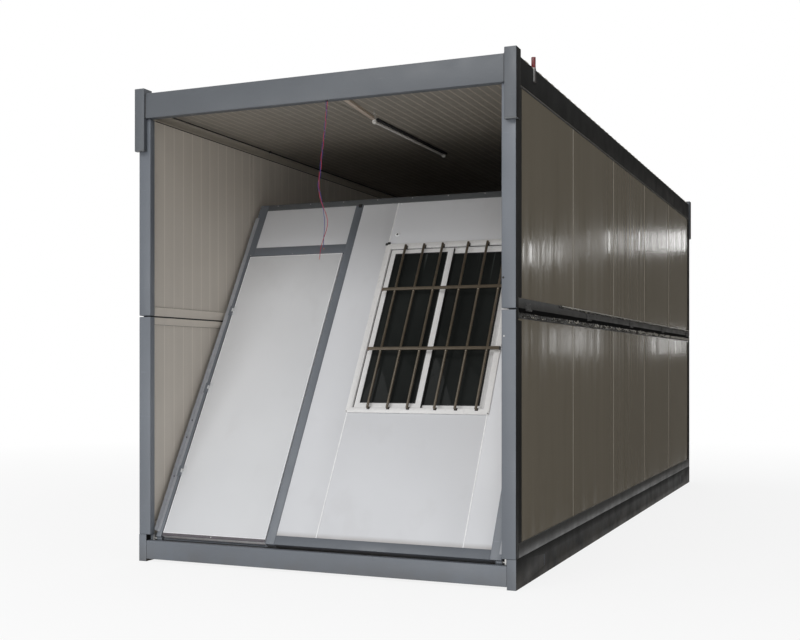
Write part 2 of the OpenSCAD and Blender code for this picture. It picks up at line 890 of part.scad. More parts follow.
// Two outer knuckles with the pin, on a plate on the stile
module door_hinge_barrels() {
    reach = knuckle_h / 2 + knuckle_gap;
    plate_x = door_left_x - hinge_axis_x - 1;
    face_y = outer_y - hinge_axis_y;
    color("gray") on_front_wall() at_door_hinges() {
        cylinder(h = 2 * (reach + knuckle_h), r = door_pin_r, center = true);
        for (flip = [0, 1])
            mirror([0, 0, flip]) {
                translate([0, 0, reach]) cylinder(h = knuckle_h, r = door_barrel_r);
                block([plate_x - 1, face_y - hinge_plate_t, reach], [0, face_y, reach + knuckle_h]);
            }
        block([plate_x - hinge_plate_w, face_y - hinge_plate_t, -reach - knuckle_h],
            [plate_x, face_y, reach + knuckle_h]);
    }
}

module door_leaf() {
    color("whitesmoke") on_front_wall()
        block([door_left_x + leaf_gap, outer_y, leaf_gap + 2],
            [door_right_x - leaf_lock_gap, outer_y + leaf_t, door_opening_h - leaf_gap]);
}

// The middle knuckle of each door hinge, on a plate on the leaf
module door_hinge_leaves() {
    plate_x = leaf_gap / 2 + 1;
    face_y = outer_y - hinge_axis_y;
    half = knuckle_h / 2;
    color("gray") on_front_wall() at_door_hinges()
        difference() {
            union() {
                cylinder(h = knuckle_h, r = door_barrel_r, center = true);
                block([0, face_y - hinge_plate_t, -half], [plate_x + 1, face_y, half]);
                block([plate_x, face_y - hinge_plate_t, -half - knuckle_h],
                    [plate_x + hinge_plate_w, face_y, half + knuckle_h]);
            }
            cylinder(h = knuckle_h + 2, r = door_pin_r + pin_clear, center = true);
        }
}

base_front_beam();
base_rear_beam();
base_left_beam();
base_right_beam();
floor_joists();
floor_deck();
left_wall_posts();
left_wall_rails();
left_wall_panels();
left_fold_hinges();
right_wall_posts();
right_wall_rails();
right_wall_panels();
right_fold_hinges();
roof_front_beam();
roof_rear_beam();
roof_left_beam();
roof_right_beam();
roof_corners();
ceiling_panels();
roof_sheet();
rear_wall_stiles();
rear_wall_rails();
rear_wall_panels();
ceiling_light();
cable_trunking();
wire_gland();
wire_red();
wire_blue();
lifting_bar();
front_wall_pivots();
front_wall_stiles();
front_wall_mullion();
front_wall_transom_bar();
front_wall_rails();
front_wall_panels();
front_wall_edge_strips();
window_frame();
window_sashes();
window_glass();
window_guard();
cable_grommet();
door_hinge_barrels();
door_leaf();
door_hinge_leaves();
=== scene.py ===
"""Looks of the folding container house: its camera, light, materials and the fine
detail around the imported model. Lengths are metres, in the model's own frame."""

import json
import math

import bmesh
import bpy
from mathutils import Matrix, Vector, noise


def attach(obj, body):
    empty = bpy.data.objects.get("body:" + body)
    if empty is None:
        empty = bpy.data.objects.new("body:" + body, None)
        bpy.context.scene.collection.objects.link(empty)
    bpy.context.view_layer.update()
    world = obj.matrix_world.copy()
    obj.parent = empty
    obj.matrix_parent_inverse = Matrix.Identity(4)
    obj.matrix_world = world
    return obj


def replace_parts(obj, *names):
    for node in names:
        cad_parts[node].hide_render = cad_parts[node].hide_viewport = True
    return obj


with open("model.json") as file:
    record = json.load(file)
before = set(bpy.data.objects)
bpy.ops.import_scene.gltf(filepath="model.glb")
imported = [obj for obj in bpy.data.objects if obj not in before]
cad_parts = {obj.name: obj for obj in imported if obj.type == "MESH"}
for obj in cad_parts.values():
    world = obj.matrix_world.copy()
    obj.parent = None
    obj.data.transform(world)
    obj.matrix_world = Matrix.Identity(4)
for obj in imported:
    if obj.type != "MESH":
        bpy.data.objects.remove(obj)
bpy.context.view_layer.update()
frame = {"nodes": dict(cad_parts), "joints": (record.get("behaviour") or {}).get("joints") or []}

HOUSE, FRONT_WALL, DOOR = "house", "front_wall", "door"
SIDES = (("left", -1), ("right", 1))
FRONT = (0, -1, 0)


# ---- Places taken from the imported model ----

joints = {joint["name"]: joint for joint in frame["joints"]}
tilt = joints["front_wall_tilt"]
# The front wall's own frame: x across, y through the wall, z up along it
WALL = Matrix.Translation(tilt["pos_m"]) @ Matrix.Rotation(-math.radians(tilt["range_deg"][1]), 4, "X")
UPRIGHT = Matrix.Identity(4)


def solids(node, space=UPRIGHT):
    """The boxes of a node's separate solids, each as its lowest and highest corner."""
    mesh = bmesh.new()
    mesh.from_mesh(frame["nodes"][node].data)
    bmesh.ops.remove_doubles(mesh, verts=mesh.verts, dist=1e-5)
    to_space = space.inverted()
    left, boxes = set(mesh.verts), []
    while left:
        group, waiting = set(), [next(iter(left))]
        while waiting:
            vertex = waiting.pop()
            if vertex not in group:
                group.add(vertex)
                waiting += [edge.other_vert(vertex) for edge in vertex.link_edges]
        left -= group
        corners = [to_space @ vertex.co for vertex in group]
        low = Vector(min(c[i] for c in corners) for i in range(3))
        high = Vector(max(c[i] for c in corners) for i in range(3))
        boxes.append((low, high))
    mesh.free()
    return sorted(boxes, key=lambda box: tuple(round(v, 4) for v in (*box[0], *box[1])))


def whole(node, space=UPRIGHT):
    """The box round all of a node."""
    boxes = solids(node, space)
    low = Vector(min(box[0][i] for box in boxes) for i in range(3))
    high = Vector(max(box[1][i] for box in boxes) for i in range(3))
    return low, high


def new_object(name, data):
    """An object in the scene that holds the given data."""
    obj = bpy.data.objects.new(name, data)
    bpy.context.scene.collection.objects.link(obj)
    return obj


# ---- Camera ----

CAMERA_PLACE = (2.562, -8.420, 1.053)
CAMERA_TURN = 24.9
LENS = 54.0
SENSOR = 36.0
SHIFT = (0.105, 0.058)

view = bpy.data.cameras.new("camera")
view.sensor_width = SENSOR
view.lens = LENS
view.shift_x, view.shift_y = SHIFT
camera = new_object("camera", view)
camera.location = CAMERA_PLACE
camera.rotation_euler = (math.radians(90), 0, math.radians(CAMERA_TURN))
bpy.context.scene.camera = camera


# ---- Materials ----

def srgb(red, green, blue):
    """A colour given in 0 to 255 steps, as the linear colour that shaders take."""
    def linear(step):
        value = step / 255
        return value / 12.92 if value <= 0.04045 else ((value + 0.055) / 1.055) ** 2.4
    return (linear(red), linear(green), linear(blue), 1.0)


def shaded(colour, factor):
    """A colour made darker or lighter."""
    return tuple(min(1.0, channel * factor) for channel in colour[:3]) + (1.0,)


class Tree:
    """The node tree of a material or world while it is being made and linked."""

    def __init__(self, owner):
        owner.use_nodes = True
        self.tree = owner.node_tree
        self.tree.nodes.clear()

    def node(self, kind, **settings):
        made = self.tree.nodes.new(kind)
        for name, value in settings.items():
            setattr(made, name, value)
        return made

    def put(self, value, socket):
        """Links a value if it comes from a node, or sets it if it is a constant."""
        if isinstance(value, bpy.types.NodeSocket):
            self.tree.links.new(value, socket)
        else:
            socket.default_value = value

    def glow(self, kind, colour, strength=1.0):
        """The output of an emission or background node."""
        made = self.node(kind)
        made.inputs["Color"].default_value = colour
        made.inputs["Strength"].default_value = strength
        return made.outputs[0]

    def blend(self, factor, first, second):
        """Mixes two shaders."""
        made = self.node("ShaderNodeMixShader")
        for place, value in enumerate((factor, first, second)):
            self.put(value, made.inputs[place])
        return made.outputs[0]

    def span(self, value, low, high, to_low=0.0, to_high=1.0):
        """Maps a range onto another, held at both ends."""
        made = self.node("ShaderNodeMapRange")
        for place, number in enumerate((value, low, high, to_low, to_high)):
            self.put(number, made.inputs[place])
        return made.outputs[0]

    def calc(self, operation, first, second=0.5, clamp=False):
        made = self.node("ShaderNodeMath", operation=operation, use_clamp=clamp)
        self.put(first, made.inputs[0])
        self.put(second, made.inputs[1])
        return made.outputs[0]


class Finish(Tree):
    """A material with one shader, whose colour, gloss and relief vary over its surface."""

    def __init__(self, name, colour, roughness, **fixed):
        self.material = bpy.data.materials.new(name)
        super().__init__(self.material)
        self.material.diffuse_color = self.colour = colour
        self.shader = self.node("ShaderNodeBsdfPrincipled")
        self.put(self.shader.outputs[0], self.node("ShaderNodeOutputMaterial").inputs[0])
        self.shader.inputs["Base Color"].default_value = colour
        self.shader.inputs["Roughness"].default_value = roughness
        for socket, value in fixed.items():
            self.shader.inputs[socket.replace("_", " ")].default_value = value
        self.place = self.node("ShaderNodeTexCoord").outputs["Object"]

    def placed(self, kind, scale, stretch, seed=0.0):
        """A texture node at a scale, over the stretched and shifted place on the piece."""
        mapping = self.node("ShaderNodeMapping")
        mapping.inputs["Scale"].default_value = stretch
        mapping.inputs["Location"].default_value = (seed, seed * 0.7, seed * 1.3)
        self.put(self.place, mapping.inputs["Vector"])
        made = self.node(kind)
        made.inputs["Scale"].default_value = scale
        self.put(mapping.outputs[0], made.inputs["Vector"])
        return made

    def noise(self, scale, detail=2.0, stretch=(1, 1, 1), seed=0.0):
        """Noise between 0 and 1 with so many features per metre."""
        made = self.placed("ShaderNodeTexNoise", scale, stretch, seed)
        made.inputs["Detail"].default_value = detail
        return made.outputs[0]

    def cells(self, scale, stretch=(1, 1, 1)):
        """Distance to the nearest point of a scattered set, for specks and creases."""
        return self.placed("ShaderNodeTexVoronoi", scale, stretch).outputs["Distance"]

    def axis(self, name):
        """One coordinate of the point, in metres."""
        split = self.node("ShaderNodeSeparateXYZ")
        self.put(self.place, split.inputs[0])
        return split.outputs[name]

    def mix(self, factor, first, second):
        """Mixes two colours."""
        made = self.node("ShaderNodeMix", data_type="RGBA")
        self.put(factor, made.inputs[0])
        self.put(first, made.inputs[6])
        self.put(second, made.inputs[7])
        return made.outputs[2]

    def paint(self, colour):
        self.put(colour, self.shader.inputs["Base Color"])

    def mottle(self, amount, scale, stretch=(1, 1, 1), seed=0.0, colour=None):
        """The base colour, a little darker and lighter from place to place."""
        field = self.span(self.noise(scale, 3.0, stretch, seed), 0.3, 0.7)
        first = colour or self.colour
        return self.mix(field, shaded(first, 1 - amount), shaded(first, 1 + amount))

    def rough(self, low, high, scale, stretch=(1, 1, 1), seed=3.0):
        field = self.span(self.noise(scale, 3.0, stretch, seed), 0.3, 0.7, low, high)
        self.put(field, self.shader.inputs["Roughness"])

    def bump(self, height, distance, strength=1.0):
        """Adds relief of that depth in metres; several calls lie on each other."""
        made = self.node("ShaderNodeBump")
        made.inputs["Strength"].default_value = strength
        made.inputs["Distance"].default_value = distance
        self.put(height, made.inputs["Height"])
        before = self.shader.inputs["Normal"]
        if before.is_linked:
            self.put(before.links[0].from_socket, made.inputs["Normal"])
        self.put(made.outputs[0], before)


def painted_steel(name, colour, dust, low, high, gloss=0.5):
    """Sprayed steel: soft blotches, fine scratches, orange peel, grime near the foot."""
    made = Finish(name, colour, 0.4, Specular_IOR_Level=gloss)
    base = made.mottle(0.07, 2.2)
    scratch = made.span(made.noise(36.0, 4.0, (0.25, 0.25, 3.0), 5.0), 0.68, 0.76, 0.0, 0.35)
    base = made.mix(scratch, base, shaded(colour, 1.5))
    specks = made.span(made.cells(38.0), 0.05, 0.1, 0.4, 0.0)
    base = made.mix(specks, base, shaded(colour, 0.6))
    foot = made.span(made.axis("Z"), 0.0, 0.12, 0.3, 0.0)
    foot = made.calc("MULTIPLY", foot, made.span(made.noise(9.0, 5.0), 0.35, 0.65))
    made.paint(made.mix(foot, base, dust))
    made.rough(low, high, 7.0)
    made.bump(made.noise(260.0, 2.0), 0.0004, 0.5)
    made.bump(made.noise(3.0, 2.0), 0.002, 0.35)
    return made.material


def panel_skin(name, colour, low, high, gloss, wave, sheen_streak, **fixed):
    """Pre-painted sheet on a foam core: long soft waves, and faint paler upright streaks painted in as streaky
    sheen.
    """
    made = Finish(name, colour, low, Specular_IOR_Level=gloss, **fixed)
    base = made.mottle(0.035, 1.3)
    # paler upright streaks, a painted sheen
    sheen_streaks = made.span(made.noise(14.0, 3.0, (1, 1, 0.04), 2.0), 0.35, 0.68, 0.0, sheen_streak)
    base = made.mix(sheen_streaks, base, shaded(colour, 1.28))
    grime = made.span(made.noise(5.0, 5.0, (1, 1, 0.3), 8.0), 0.55, 0.8, 0.0, 0.22)
    base = made.mix(grime, base, shaded(colour, 0.72))
    made.paint(base)
    made.rough(low, high, 17.0, (1, 1, 0.03))
    made.bump(made.noise(3.2, 1.0, (1, 1, 0.12), 1.0), wave, 1.0)
    made.bump(made.noise(15.0, 2.0, (1, 1, 0.03), 4.0), wave * 0.2, 1.0)
    return made.material


def smooth_sheet(name, colour, low, high, grime_and_shadow_colour, foot, gloss=0.5):
    """Pale painted sheet: faint clouds, thin handling marks and a darker band near the foot painted as shadow.
    """
    made = Finish(name, colour, low, Specular_IOR_Level=gloss)
    base = made.mottle(0.022, 1.7)
    smudge = made.span(made.noise(6.0, 5.0, (1, 1, 0.4), 6.0), 0.6, 0.8, 0.0, 0.09)
    base = made.mix(smudge, base, grime_and_shadow_colour)
    # a darker band near the foot, painted as the shadow above the foot rail
    painted_foot_shadow = made.span(made.axis("Z"), 0.178, 0.2, foot, 0.0)
    painted_foot_shadow = made.calc("MULTIPLY", painted_foot_shadow, made.span(made.noise(7.0, 3.0), 0.2, 0.6, 0.55, 1.0))
    made.paint(made.mix(painted_foot_shadow, base, grime_and_shadow_colour))
    made.rough(low, high, 3.0)
    made.bump(made.noise(2.6, 1.0), 0.0025, 0.6)
    made.bump(made.noise(420.0, 2.0), 0.0002, 0.3)
    return made.material


def plain(name, colour, low, high, relief=0.0003, grain=180.0, amount=0.08, **fixed):
    """A small part's finish: mottled colour, uneven gloss and a fine grain."""
    made = Finish(name, colour, low, **fixed)
    made.paint(made.mottle(amount, 40.0))
    made.rough(low, high, 60.0)
    made.bump(made.noise(grain, 3.0), relief, 0.6)
    return made.material


def crinkled_foil(name, colour):
    """Shiny film that is creased all over, with pale flecks painted in as glints."""
    made = Finish(name, colour, 0.2, Metallic=0.35)
    # pale flecks painted as glints
    painted_glints = made.span(made.noise(75.0, 3.0, (1, 0.3, 1), 2.0), 0.58, 0.64)
    made.paint(made.mix(painted_glints, made.mottle(0.35, 30.0), srgb(176, 172, 160)))
    made.rough(0.1, 0.28, 40.0)
    made.bump(made.cells(46.0, (1, 1, 1.8)), 0.006, 1.0)
    made.bump(made.noise(120.0, 3.0), 0.002, 0.8)
    return made.material


def glass_with_painted_shade(name, colour, reflection_low, reflection_high):
    """Nearly black glass, its darkness painted as the shade of the room behind, with paler upright streaks
    painted as reflections between two heights.
    """
    made = Finish(name, colour, 0.04, Specular_IOR_Level=0.03)
    painted_reflections = made.span(made.noise(70.0, 2.0, (1, 0.02, 0.02), 2.0), 0.6, 0.72, 0.0, 0.75)
    painted_reflections = made.calc("MULTIPLY", painted_reflections, made.span(made.noise(13.0, 2.0, (1, 0.3, 0.3), 5.0), 0.42, 0.6))
    painted_reflections = made.calc("MULTIPLY", painted_reflections, made.span(made.axis("Z"), reflection_low, reflection_high))
    made.paint(made.mix(painted_reflections, made.mottle(0.25, 2.5), shaded(colour, 7.0)))
    made.put(made.span(painted_reflections, 0.0, 0.5, 0.03, 0.2), made.shader.inputs["Roughness"])
    made.bump(made.noise(2.2, 1.0), 0.0012, 0.5)
    return made.material


def plywood(name, colour):
    """Board with a drawn-out grain along the house."""
    made = Finish(name, colour, 0.6, Specular_IOR_Level=0.3)
    grain = made.span(made.noise(30.0, 6.0, (1, 0.06, 1), 1.0), 0.3, 0.7)
    base = made.mix(grain, shaded(colour, 0.75), shaded(colour, 1.2))
    dust = made.span(made.noise(3.0, 5.0), 0.5, 0.75, 0.0, 0.5)
    made.paint(made.mix(dust, base, srgb(150, 142, 130)))
    made.rough(0.5, 0.75, 8.0)
    made.bump(grain, 0.0004, 0.6)
    return made.material


DUST = srgb(96, 88, 78)
FRAME_GREY = srgb(112, 117, 124)
# The posts above the fold: the frame's grey painted darker as shade.
upper_post_shade_steel = painted_steel("upper_post_painted_shade", srgb(104, 109, 116), DUST, 0.34, 0.5)
# The roof's end beams and corners: the frame's grey painted darker as the shade they lie in.
roof_shade_steel = painted_steel("roof_shade_steel", srgb(86, 90, 95), DUST, 0.36, 0.52)
frame_steel = painted_steel("frame_steel", FRAME_GREY, DUST, 0.34, 0.5)
# The frame's grey painted much darker as shade, for steel on the house's sides and underside.
side_steel = painted_steel("side_steel", srgb(25, 25, 24), DUST, 0.5, 0.62, 0.08)
# The side walls' rails: dark grey painted as the shade on the house's sides.
rail_steel = painted_steel("rail_steel", srgb(46, 46, 45), DUST, 0.35, 0.5, 0.35)
# The front wall's foot rail: the frame's grey painted darker as shade, against the strong light on it.
foot_rail_shade_steel = painted_steel("foot_rail_shade_steel", srgb(97, 102, 109), DUST, 0.36, 0.5)
# The front wall's top rail and the roof corners' lips: a grey painted darker as the shade under the roof.
top_rail_shade_steel = painted_steel("top_rail_shade_steel", srgb(90, 93, 95), DUST, 0.36, 0.5)
# The outer skin is darker than the inner skin partly as painted shade on the side walls.
wall_outside = panel_skin("wall_panel_outside", srgb(126, 118, 103), 0.07, 0.21, 0.4, 0.003, 0.12,
                          Anisotropic=0.7, Anisotropic_Rotation=0.25)
wall_inside = panel_skin("wall_panel_inside", srgb(206, 198, 187), 0.34, 0.46, 0.4, 0.0007, 0.14)
wall_cover = panel_skin("wall_cover", srgb(172, 164, 152), 0.35, 0.45, 0.4, 0.0008, 0.08)
# The ribs' paler colour is a painted highlight on the ribs.
wall_rib_highlight = panel_skin("wall_panel_rib_highlight", srgb(220, 212, 201), 0.34, 0.46, 0.4, 0.0007, 0.1)
ceiling_skin = panel_skin("ceiling_skin", srgb(146, 140, 130), 0.32, 0.45, 0.4, 0.002, 0.1)
# The ceiling ribs' paler colour is a painted highlight on the ribs.
ceiling_rib_highlight = panel_skin("ceiling_rib_highlight", srgb(178, 169, 156), 0.32, 0.45, 0.4, 0.002, 0.1)
joint_trim = plain("joint_trim", srgb(178, 170, 156), 0.3, 0.45)
pale_caulk = plain("pale_caulk", srgb(246, 246, 247), 0.35, 0.5)
# The end panels carry a darker band near the foot, painted as shadow; the door has none.
end_skin = smooth_sheet("end_panel_skin", srgb(217, 218, 221), 0.38, 0.5, srgb(150, 142, 136), 0.6)
door_skin = smooth_sheet("door_skin", srgb(220, 221, 223), 0.38, 0.5, srgb(160, 154, 148), 0.0)
door_edge = plain("door_edge", srgb(244, 244, 246), 0.3, 0.4)
edge_strip = plain("edge_strip", srgb(162, 164, 169), 0.4, 0.55, 0.0006, 60.0)
kick_steel = plain("kick_steel", srgb(88, 83, 88), 0.35, 0.5, 0.0005, 90.0, 0.12)
roof_sheet = painted_steel("roof_sheet", srgb(92, 95, 98), DUST, 0.35, 0.5, 0.4)
hinge_steel = plain("hinge_steel", srgb(46, 46, 45), 0.35, 0.55, 0.0006, 120.0, 0.2, Metallic=0.3)
bolt_steel = plain("bolt_steel", srgb(190, 190, 188), 0.25, 0.45, 0.0004, 200.0, 0.15, Metallic=0.6)
white_plastic = plain("white_plastic", srgb(226, 224, 218), 0.3, 0.42, 0.0002, 300.0, 0.03)
lamp_tube = plain("lamp_tube", srgb(236, 232, 226), 0.15, 0.25, 0.0001, 200.0, 0.02)
conduit_plastic = plain("conduit_plastic", srgb(206, 190, 174), 0.35, 0.5, 0.0003, 120.0, 0.05)
# Near-black, painted as the shade in the fold's gap.
fold_gap_painted_shade = plain("fold_gap_painted_shade", srgb(9, 9, 9), 0.8, 0.95, 0.0008, 60.0, 0.2,
                       Specular_IOR_Level=0.03)
black_rubber = plain("black_rubber", srgb(28, 28, 28), 0.55, 0.75, 0.0004, 240.0, 0.2)
red_wire = plain("red_wire", srgb(158, 14, 50), 0.35, 0.5, 0.0001, 300.0, 0.06)
blue_wire = plain("blue_wire", srgb(30, 32, 112), 0.35, 0.5, 0.0001, 300.0, 0.06)
copper = plain("copper_strands", srgb(196, 122, 84), 0.25, 0.4, 0.0003, 600.0, 0.15, Metallic=1.0)
red_paint = plain("red_paint", srgb(112, 22, 26), 0.18, 0.3, 0.0003, 90.0, 0.15)
window_white = plain("window_white", srgb(228, 227, 226), 0.25, 0.38, 0.0002, 260.0, 0.025)
# Near-black, painted as the shade of the room behind the pane.
dark_glass = glass_with_painted_shade("dark_glass", srgb(34, 36, 35), 1.5, 1.69)
bronze_bar = plain("bronze_bar", srgb(88, 79, 66), 0.34, 0.5, 0.0005, 140.0, 0.14, Metallic=0.25)
red_oxide = plain("red_oxide", srgb(104, 62, 52), 0.4, 0.6, 0.0006, 120.0, 0.15)
weld_steel = plain("weld_steel", srgb(150, 142, 128), 0.35, 0.6, 0.001, 300.0, 0.2, Metallic=0.4)
seal_foil = crinkled_foil("seal_foil", srgb(42, 42, 40))
# Pale, painted as the glints on the film's creases.
film_glint_paint = plain("film_glint_paint", srgb(214, 208, 196), 0.2, 0.35, 0.0003, 200.0, 0.2)
deck_board = plywood("deck_board", srgb(142, 108, 74))


# ---- Making pieces ----

def circle(centre, way, radius, sides):
    """Points round a centre, square to a direction."""
    side = way.orthogonal().normalized()
    up = way.cross(side)
    return [centre + radius * (math.cos(a) * side + math.sin(a) * up)
            for a in (2 * math.pi * k / sides for k in range(sides))]


class Shape:
    """Gathers solids in one mesh, then turns them into a piece."""

    def __init__(self, space=UPRIGHT):
        self.mesh = bmesh.new()
        self.space = space
        self.materials = []

    def index(self, material):
        if material not in self.materials:
            self.materials.append(material)
        return self.materials.index(material)

    def solid(self, rings, material):
        """A skin over rings of points, each ring once round, with both ends capped."""
        index = self.index(material)
        made = [[self.mesh.verts.new(self.space @ Vector(point)) for point in ring] for ring in rings]
        for lower, upper in zip(made, made[1:]):
            count = len(lower)
            for i in range(count):
                j = (i + 1) % count
                self.mesh.faces.new((lower[i], lower[j], upper[j], upper[i])).material_index = index
        self.mesh.faces.new(list(reversed(made[0]))).material_index = index
        self.mesh.faces.new(made[-1]).material_index = index

    def slab(self, low, high, material, chamfer=0.0):
        """A box between two corners, with its long and short edges broken."""
        x0, y0, z0 = low
        x1, y1, z1 = high
        c = min(chamfer, 0.45 * min(x1 - x0, y1 - y0, z1 - z0))

        def ring(inset, z):
            a, b = x0 + inset, x1 - inset
            d, e = y0 + inset, y1 - inset
            if c <= 0:
                return [(a, d, z), (b, d, z), (b, e, z), (a, e, z)]
            return [(a + c, d, z), (b - c, d, z), (b, d + c, z), (b, e - c, z),
                    (b - c, e, z), (a + c, e, z), (a, e - c, z), (a, d + c, z)]

        if c <= 0:
            self.solid([ring(0, z0), ring(0, z1)], material)
        else:
            self.solid([ring(c, z0), ring(0, z0 + c), ring(0, z1 - c), ring(c, z1)], material)

    def rod(self, start, end, radius, material, sides=16, rounding=0.0):
        """A round bar, with softened rims if a rounding is given."""
        start, end = Vector(start), Vector(end)
        way = (end - start).normalized()
        length = (end - start).length
        stops = [(0.0, radius - rounding), (rounding, radius),
                 (length - rounding, radius), (length, radius - rounding)]
        if rounding <= 0:
            stops = [(0.0, radius), (length, radius)]
        self.solid([circle(start + way * along, way, r, sides) for along, r in stops], material)

    def head(self, place, way, radius, height, material, sides=12):
        """A low domed screw or rivet head that stands on a surface."""
        place, way = Vector(place), Vector(way).normalized()
        dome = ((0.0, 1.0), (0.45, 0.94), (0.8, 0.7), (1.0, 0.3))
        self.solid([circle(place + way * height * level, way, radius * share, sides)
                    for level, share in dome], material)

    def profile(self, outline, place, start, end, sides, caps):
        """An outline of 2D points drawn out between two places, one material per edge."""
        count = len(outline)
        first = [self.mesh.verts.new(self.space @ Vector(place(a, b, start))) for a, b in outline]
        last = [self.mesh.verts.new(self.space @ Vector(place(a, b, end))) for a, b in outline]
        for i in range(count):
            j = (i + 1) % count
            face = self.mesh.faces.new((first[i], first[j], last[j], last[i]))
            face.material_index = self.index(sides[i])
        self.mesh.faces.new(list(reversed(first))).material_index = self.index(caps)
        self.mesh.faces.new(last).material_index = self.index(caps)

    def piece(self, name, body, slot=None, smooth=35.0):
        """Makes the object, with shading smooth up to an angle, and lets it ride."""
        bmesh.ops.recalc_face_normals(self.mesh, faces=self.mesh.faces)
        data = bpy.data.meshes.new(name)
        for edge in self.mesh.edges:
            edge.smooth = len(edge.link_faces) == 2 and edge.calc_face_angle(0) < math.radians(smooth)
        for face in self.mesh.faces:
            face.smooth = True
        self.mesh.to_mesh(data)
        self.mesh.free()
        for material in self.materials:
            data.materials.append(material)
        obj = new_object(name, data)
        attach(obj, body)
        return obj


def rounded(node, body, material, width=0.0015, paint=None):
    """Stands for a CAD node with the same shape, its sharp edges rounded.
    paint(centre, normal) may name another material for a face."""
    source = bmesh.new()
    source.from_mesh(frame["nodes"][node].data)
    bmesh.ops.remove_doubles(source, verts=source.verts, dist=1e-5)
    bmesh.ops.dissolve_limit(source, angle_limit=math.radians(1), verts=source.verts, edges=source.edges)
    materials = [material]
    for face in source.faces:
        chosen = paint(face.calc_center_median(), face.normal) if paint else None
        chosen = chosen or material
        if chosen not in materials:
            materials.append(chosen)
        face.material_index = materials.index(chosen)
        face.smooth = True
    data = bpy.data.meshes.new(node + "_finished")
    source.to_mesh(data)
    source.free()
    for chosen in materials:
        data.materials.append(chosen)
    obj = new_object(node + "_finished", data)
    bevel = obj.modifiers.new("rounded_edges", "BEVEL")
    bevel.width = width
    bevel.segments = 2
    bevel.limit_method = "ANGLE"
    bevel.angle_limit = math.radians(30)
    bevel.harden_normals = True
    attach(obj, body)
    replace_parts(obj, node)
    return obj


# ---- Wires that hang from the front beam ----

MM = 0.001
WIRE_D = 0.003
STRANDS = 5
# Both routes in millimetres, from the gland down
RED_ROUTE = [
    (79, -2937, 2382), (79, -2937, 2370), (75, -2934, 2345), (71, -2937, 2320),
    (71, -2940, 2295), (72, -2937, 2270), (66, -2934, 2245), (60, -2937, 2220),
    (59, -2940, 2195), (59, -2937, 2170), (52, -2934, 2145), (47, -2937, 2120),
    (46, -2940, 2095), (47, -2937, 2070), (42, -2934, 2045), (36, -2937, 2020),
    (35, -2940, 1995), (34, -2937, 1970), (33, -2934, 1945), (36, -2937, 1920),
    (43, -2940, 1895), (52, -2940, 1870), (62, -2940, 1845), (72, -2939, 1820),
    (79, -2938, 1795), (81, -2938, 1770), (77, -2938, 1745), (69, -2939, 1720),
    (60, -2940, 1695), (51, -2939, 1670), (45, -2938, 1650), (40, -2937, 1625),
    (37, -2937, 1600),
]
BLUE_ROUTE = [
    (73, -2937, 2382), (73, -2937, 2370), (75, -2940, 2345), (77, -2937, 2320),
    (71, -2934, 2295), (66, -2937, 2270), (66, -2940, 2245), (66, -2937, 2220),
    (59, -2934, 2195), (53, -2937, 2170), (52, -2940, 2145), (53, -2937, 2120),
    (46, -2934, 2095), (41, -2937, 2070), (42, -2940, 2045), (42, -2937, 2020),
    (35, -2934, 1995), (28, -2937, 1970), (33, -2940, 1945), (42, -2937, 1920),
    (45, -2934, 1895), (50, -2932, 1870), (55, -2932, 1845), (58, -2932, 1820),
    (61, -2932, 1795), (62, -2932, 1770), (61, -2932, 1745), (59, -2932, 1720),
    (57, -2932, 1695), (57, -2932, 1670), (58, -2932, 1650),
]


def hanging_wire(node, route, material):
    """A limp insulated wire along its route, with its bare strands at the end."""
    points = [Vector(point) * MM for point in route]
    curve = bpy.data.curves.new(node + "_insulation", "CURVE")
    curve.dimensions = "3D"
    curve.bevel_depth = WIRE_D / 2
    curve.bevel_resolution = 3
    curve.resolution_u = 4
    curve.use_fill_caps = True
    spline = curve.splines.new("BEZIER")
    spline.bezier_points.add(len(points) - 1)
    for bezier, point in zip(spline.bezier_points, points):
        bezier.co = point
        bezier.handle_left_type = bezier.handle_right_type = "AUTO"
    curve.materials.append(material)
    wire = new_object(node + "_insulation", curve)
    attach(wire, HOUSE)
    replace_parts(wire, node)
    way = (points[-1] - points[-2]).normalized()
    side = way.orthogonal().normalized()
    strands = Shape()
    for k in range(STRANDS):
        turn = Matrix.Rotation(2 * math.pi * k / STRANDS, 3, way) @ side
        start = points[-1] + turn * 0.0006
        strands.rod(start, start + way * 0.009 + turn * 0.0008, 0.0004, copper, 6)
    tip = strands.piece(node + "_strands", HOUSE)


hanging_wire("wire_red", RED_ROUTE, red_wire)
hanging_wire("wire_blue", BLUE_ROUTE, blue_wire)


# ---- Base frame and floor ----

for node in ("base_front_beam", "base_rear_beam"):
    rounded(node, HOUSE, frame_steel, 0.003)


def end_grey(centre, normal):
    """The ends of the side beams keep the frame grey of the end frames; their other faces carry the darker grey
    painted as shade.
    """
    return frame_steel if abs(normal.y) > 0.7 else None


# the side beams' faces other than their ends are in the darker grey painted as shade
for side, sign in SIDES:
    rounded(f"base_{side}_beam", HOUSE, side_steel, 0.003, end_grey)
# the joists under the floor are in the darker grey painted as shade
rounded("floor_joists", HOUSE, side_steel, 0.002)
rounded("floor_deck", HOUSE, deck_board, 0.001)


# ---- Side walls ----

RIB_PITCH = 0.1
RIB_W = 0.009
RIB_DEPTH = 0.0005
EDGE_BREAK = 0.0015
FLAT_ANGLE = 4.0
CHANNEL_W = 0.058
SEAM_HALF_GAP = 0.0015
SEAM_HALF_W = 0.004
SEAM_TOP_GAP = 0.009
SEAL_H = 0.008
SAME = 0.0002
SEAL_GAP = 0.0002
FOLD_Z = 1.325
WALL_INSIDE_X = 0.987


def post_grey(centre, normal):
    """The posts' outer sides get the darker grey painted as the side walls' shade; above the fold the posts get
    a grey painted darker as shade.
    """
    if abs(normal.x) > 0.7 and abs(centre.x) > 1.0:
        return side_steel
    return upper_post_shade_steel if centre.z > FOLD_Z else None


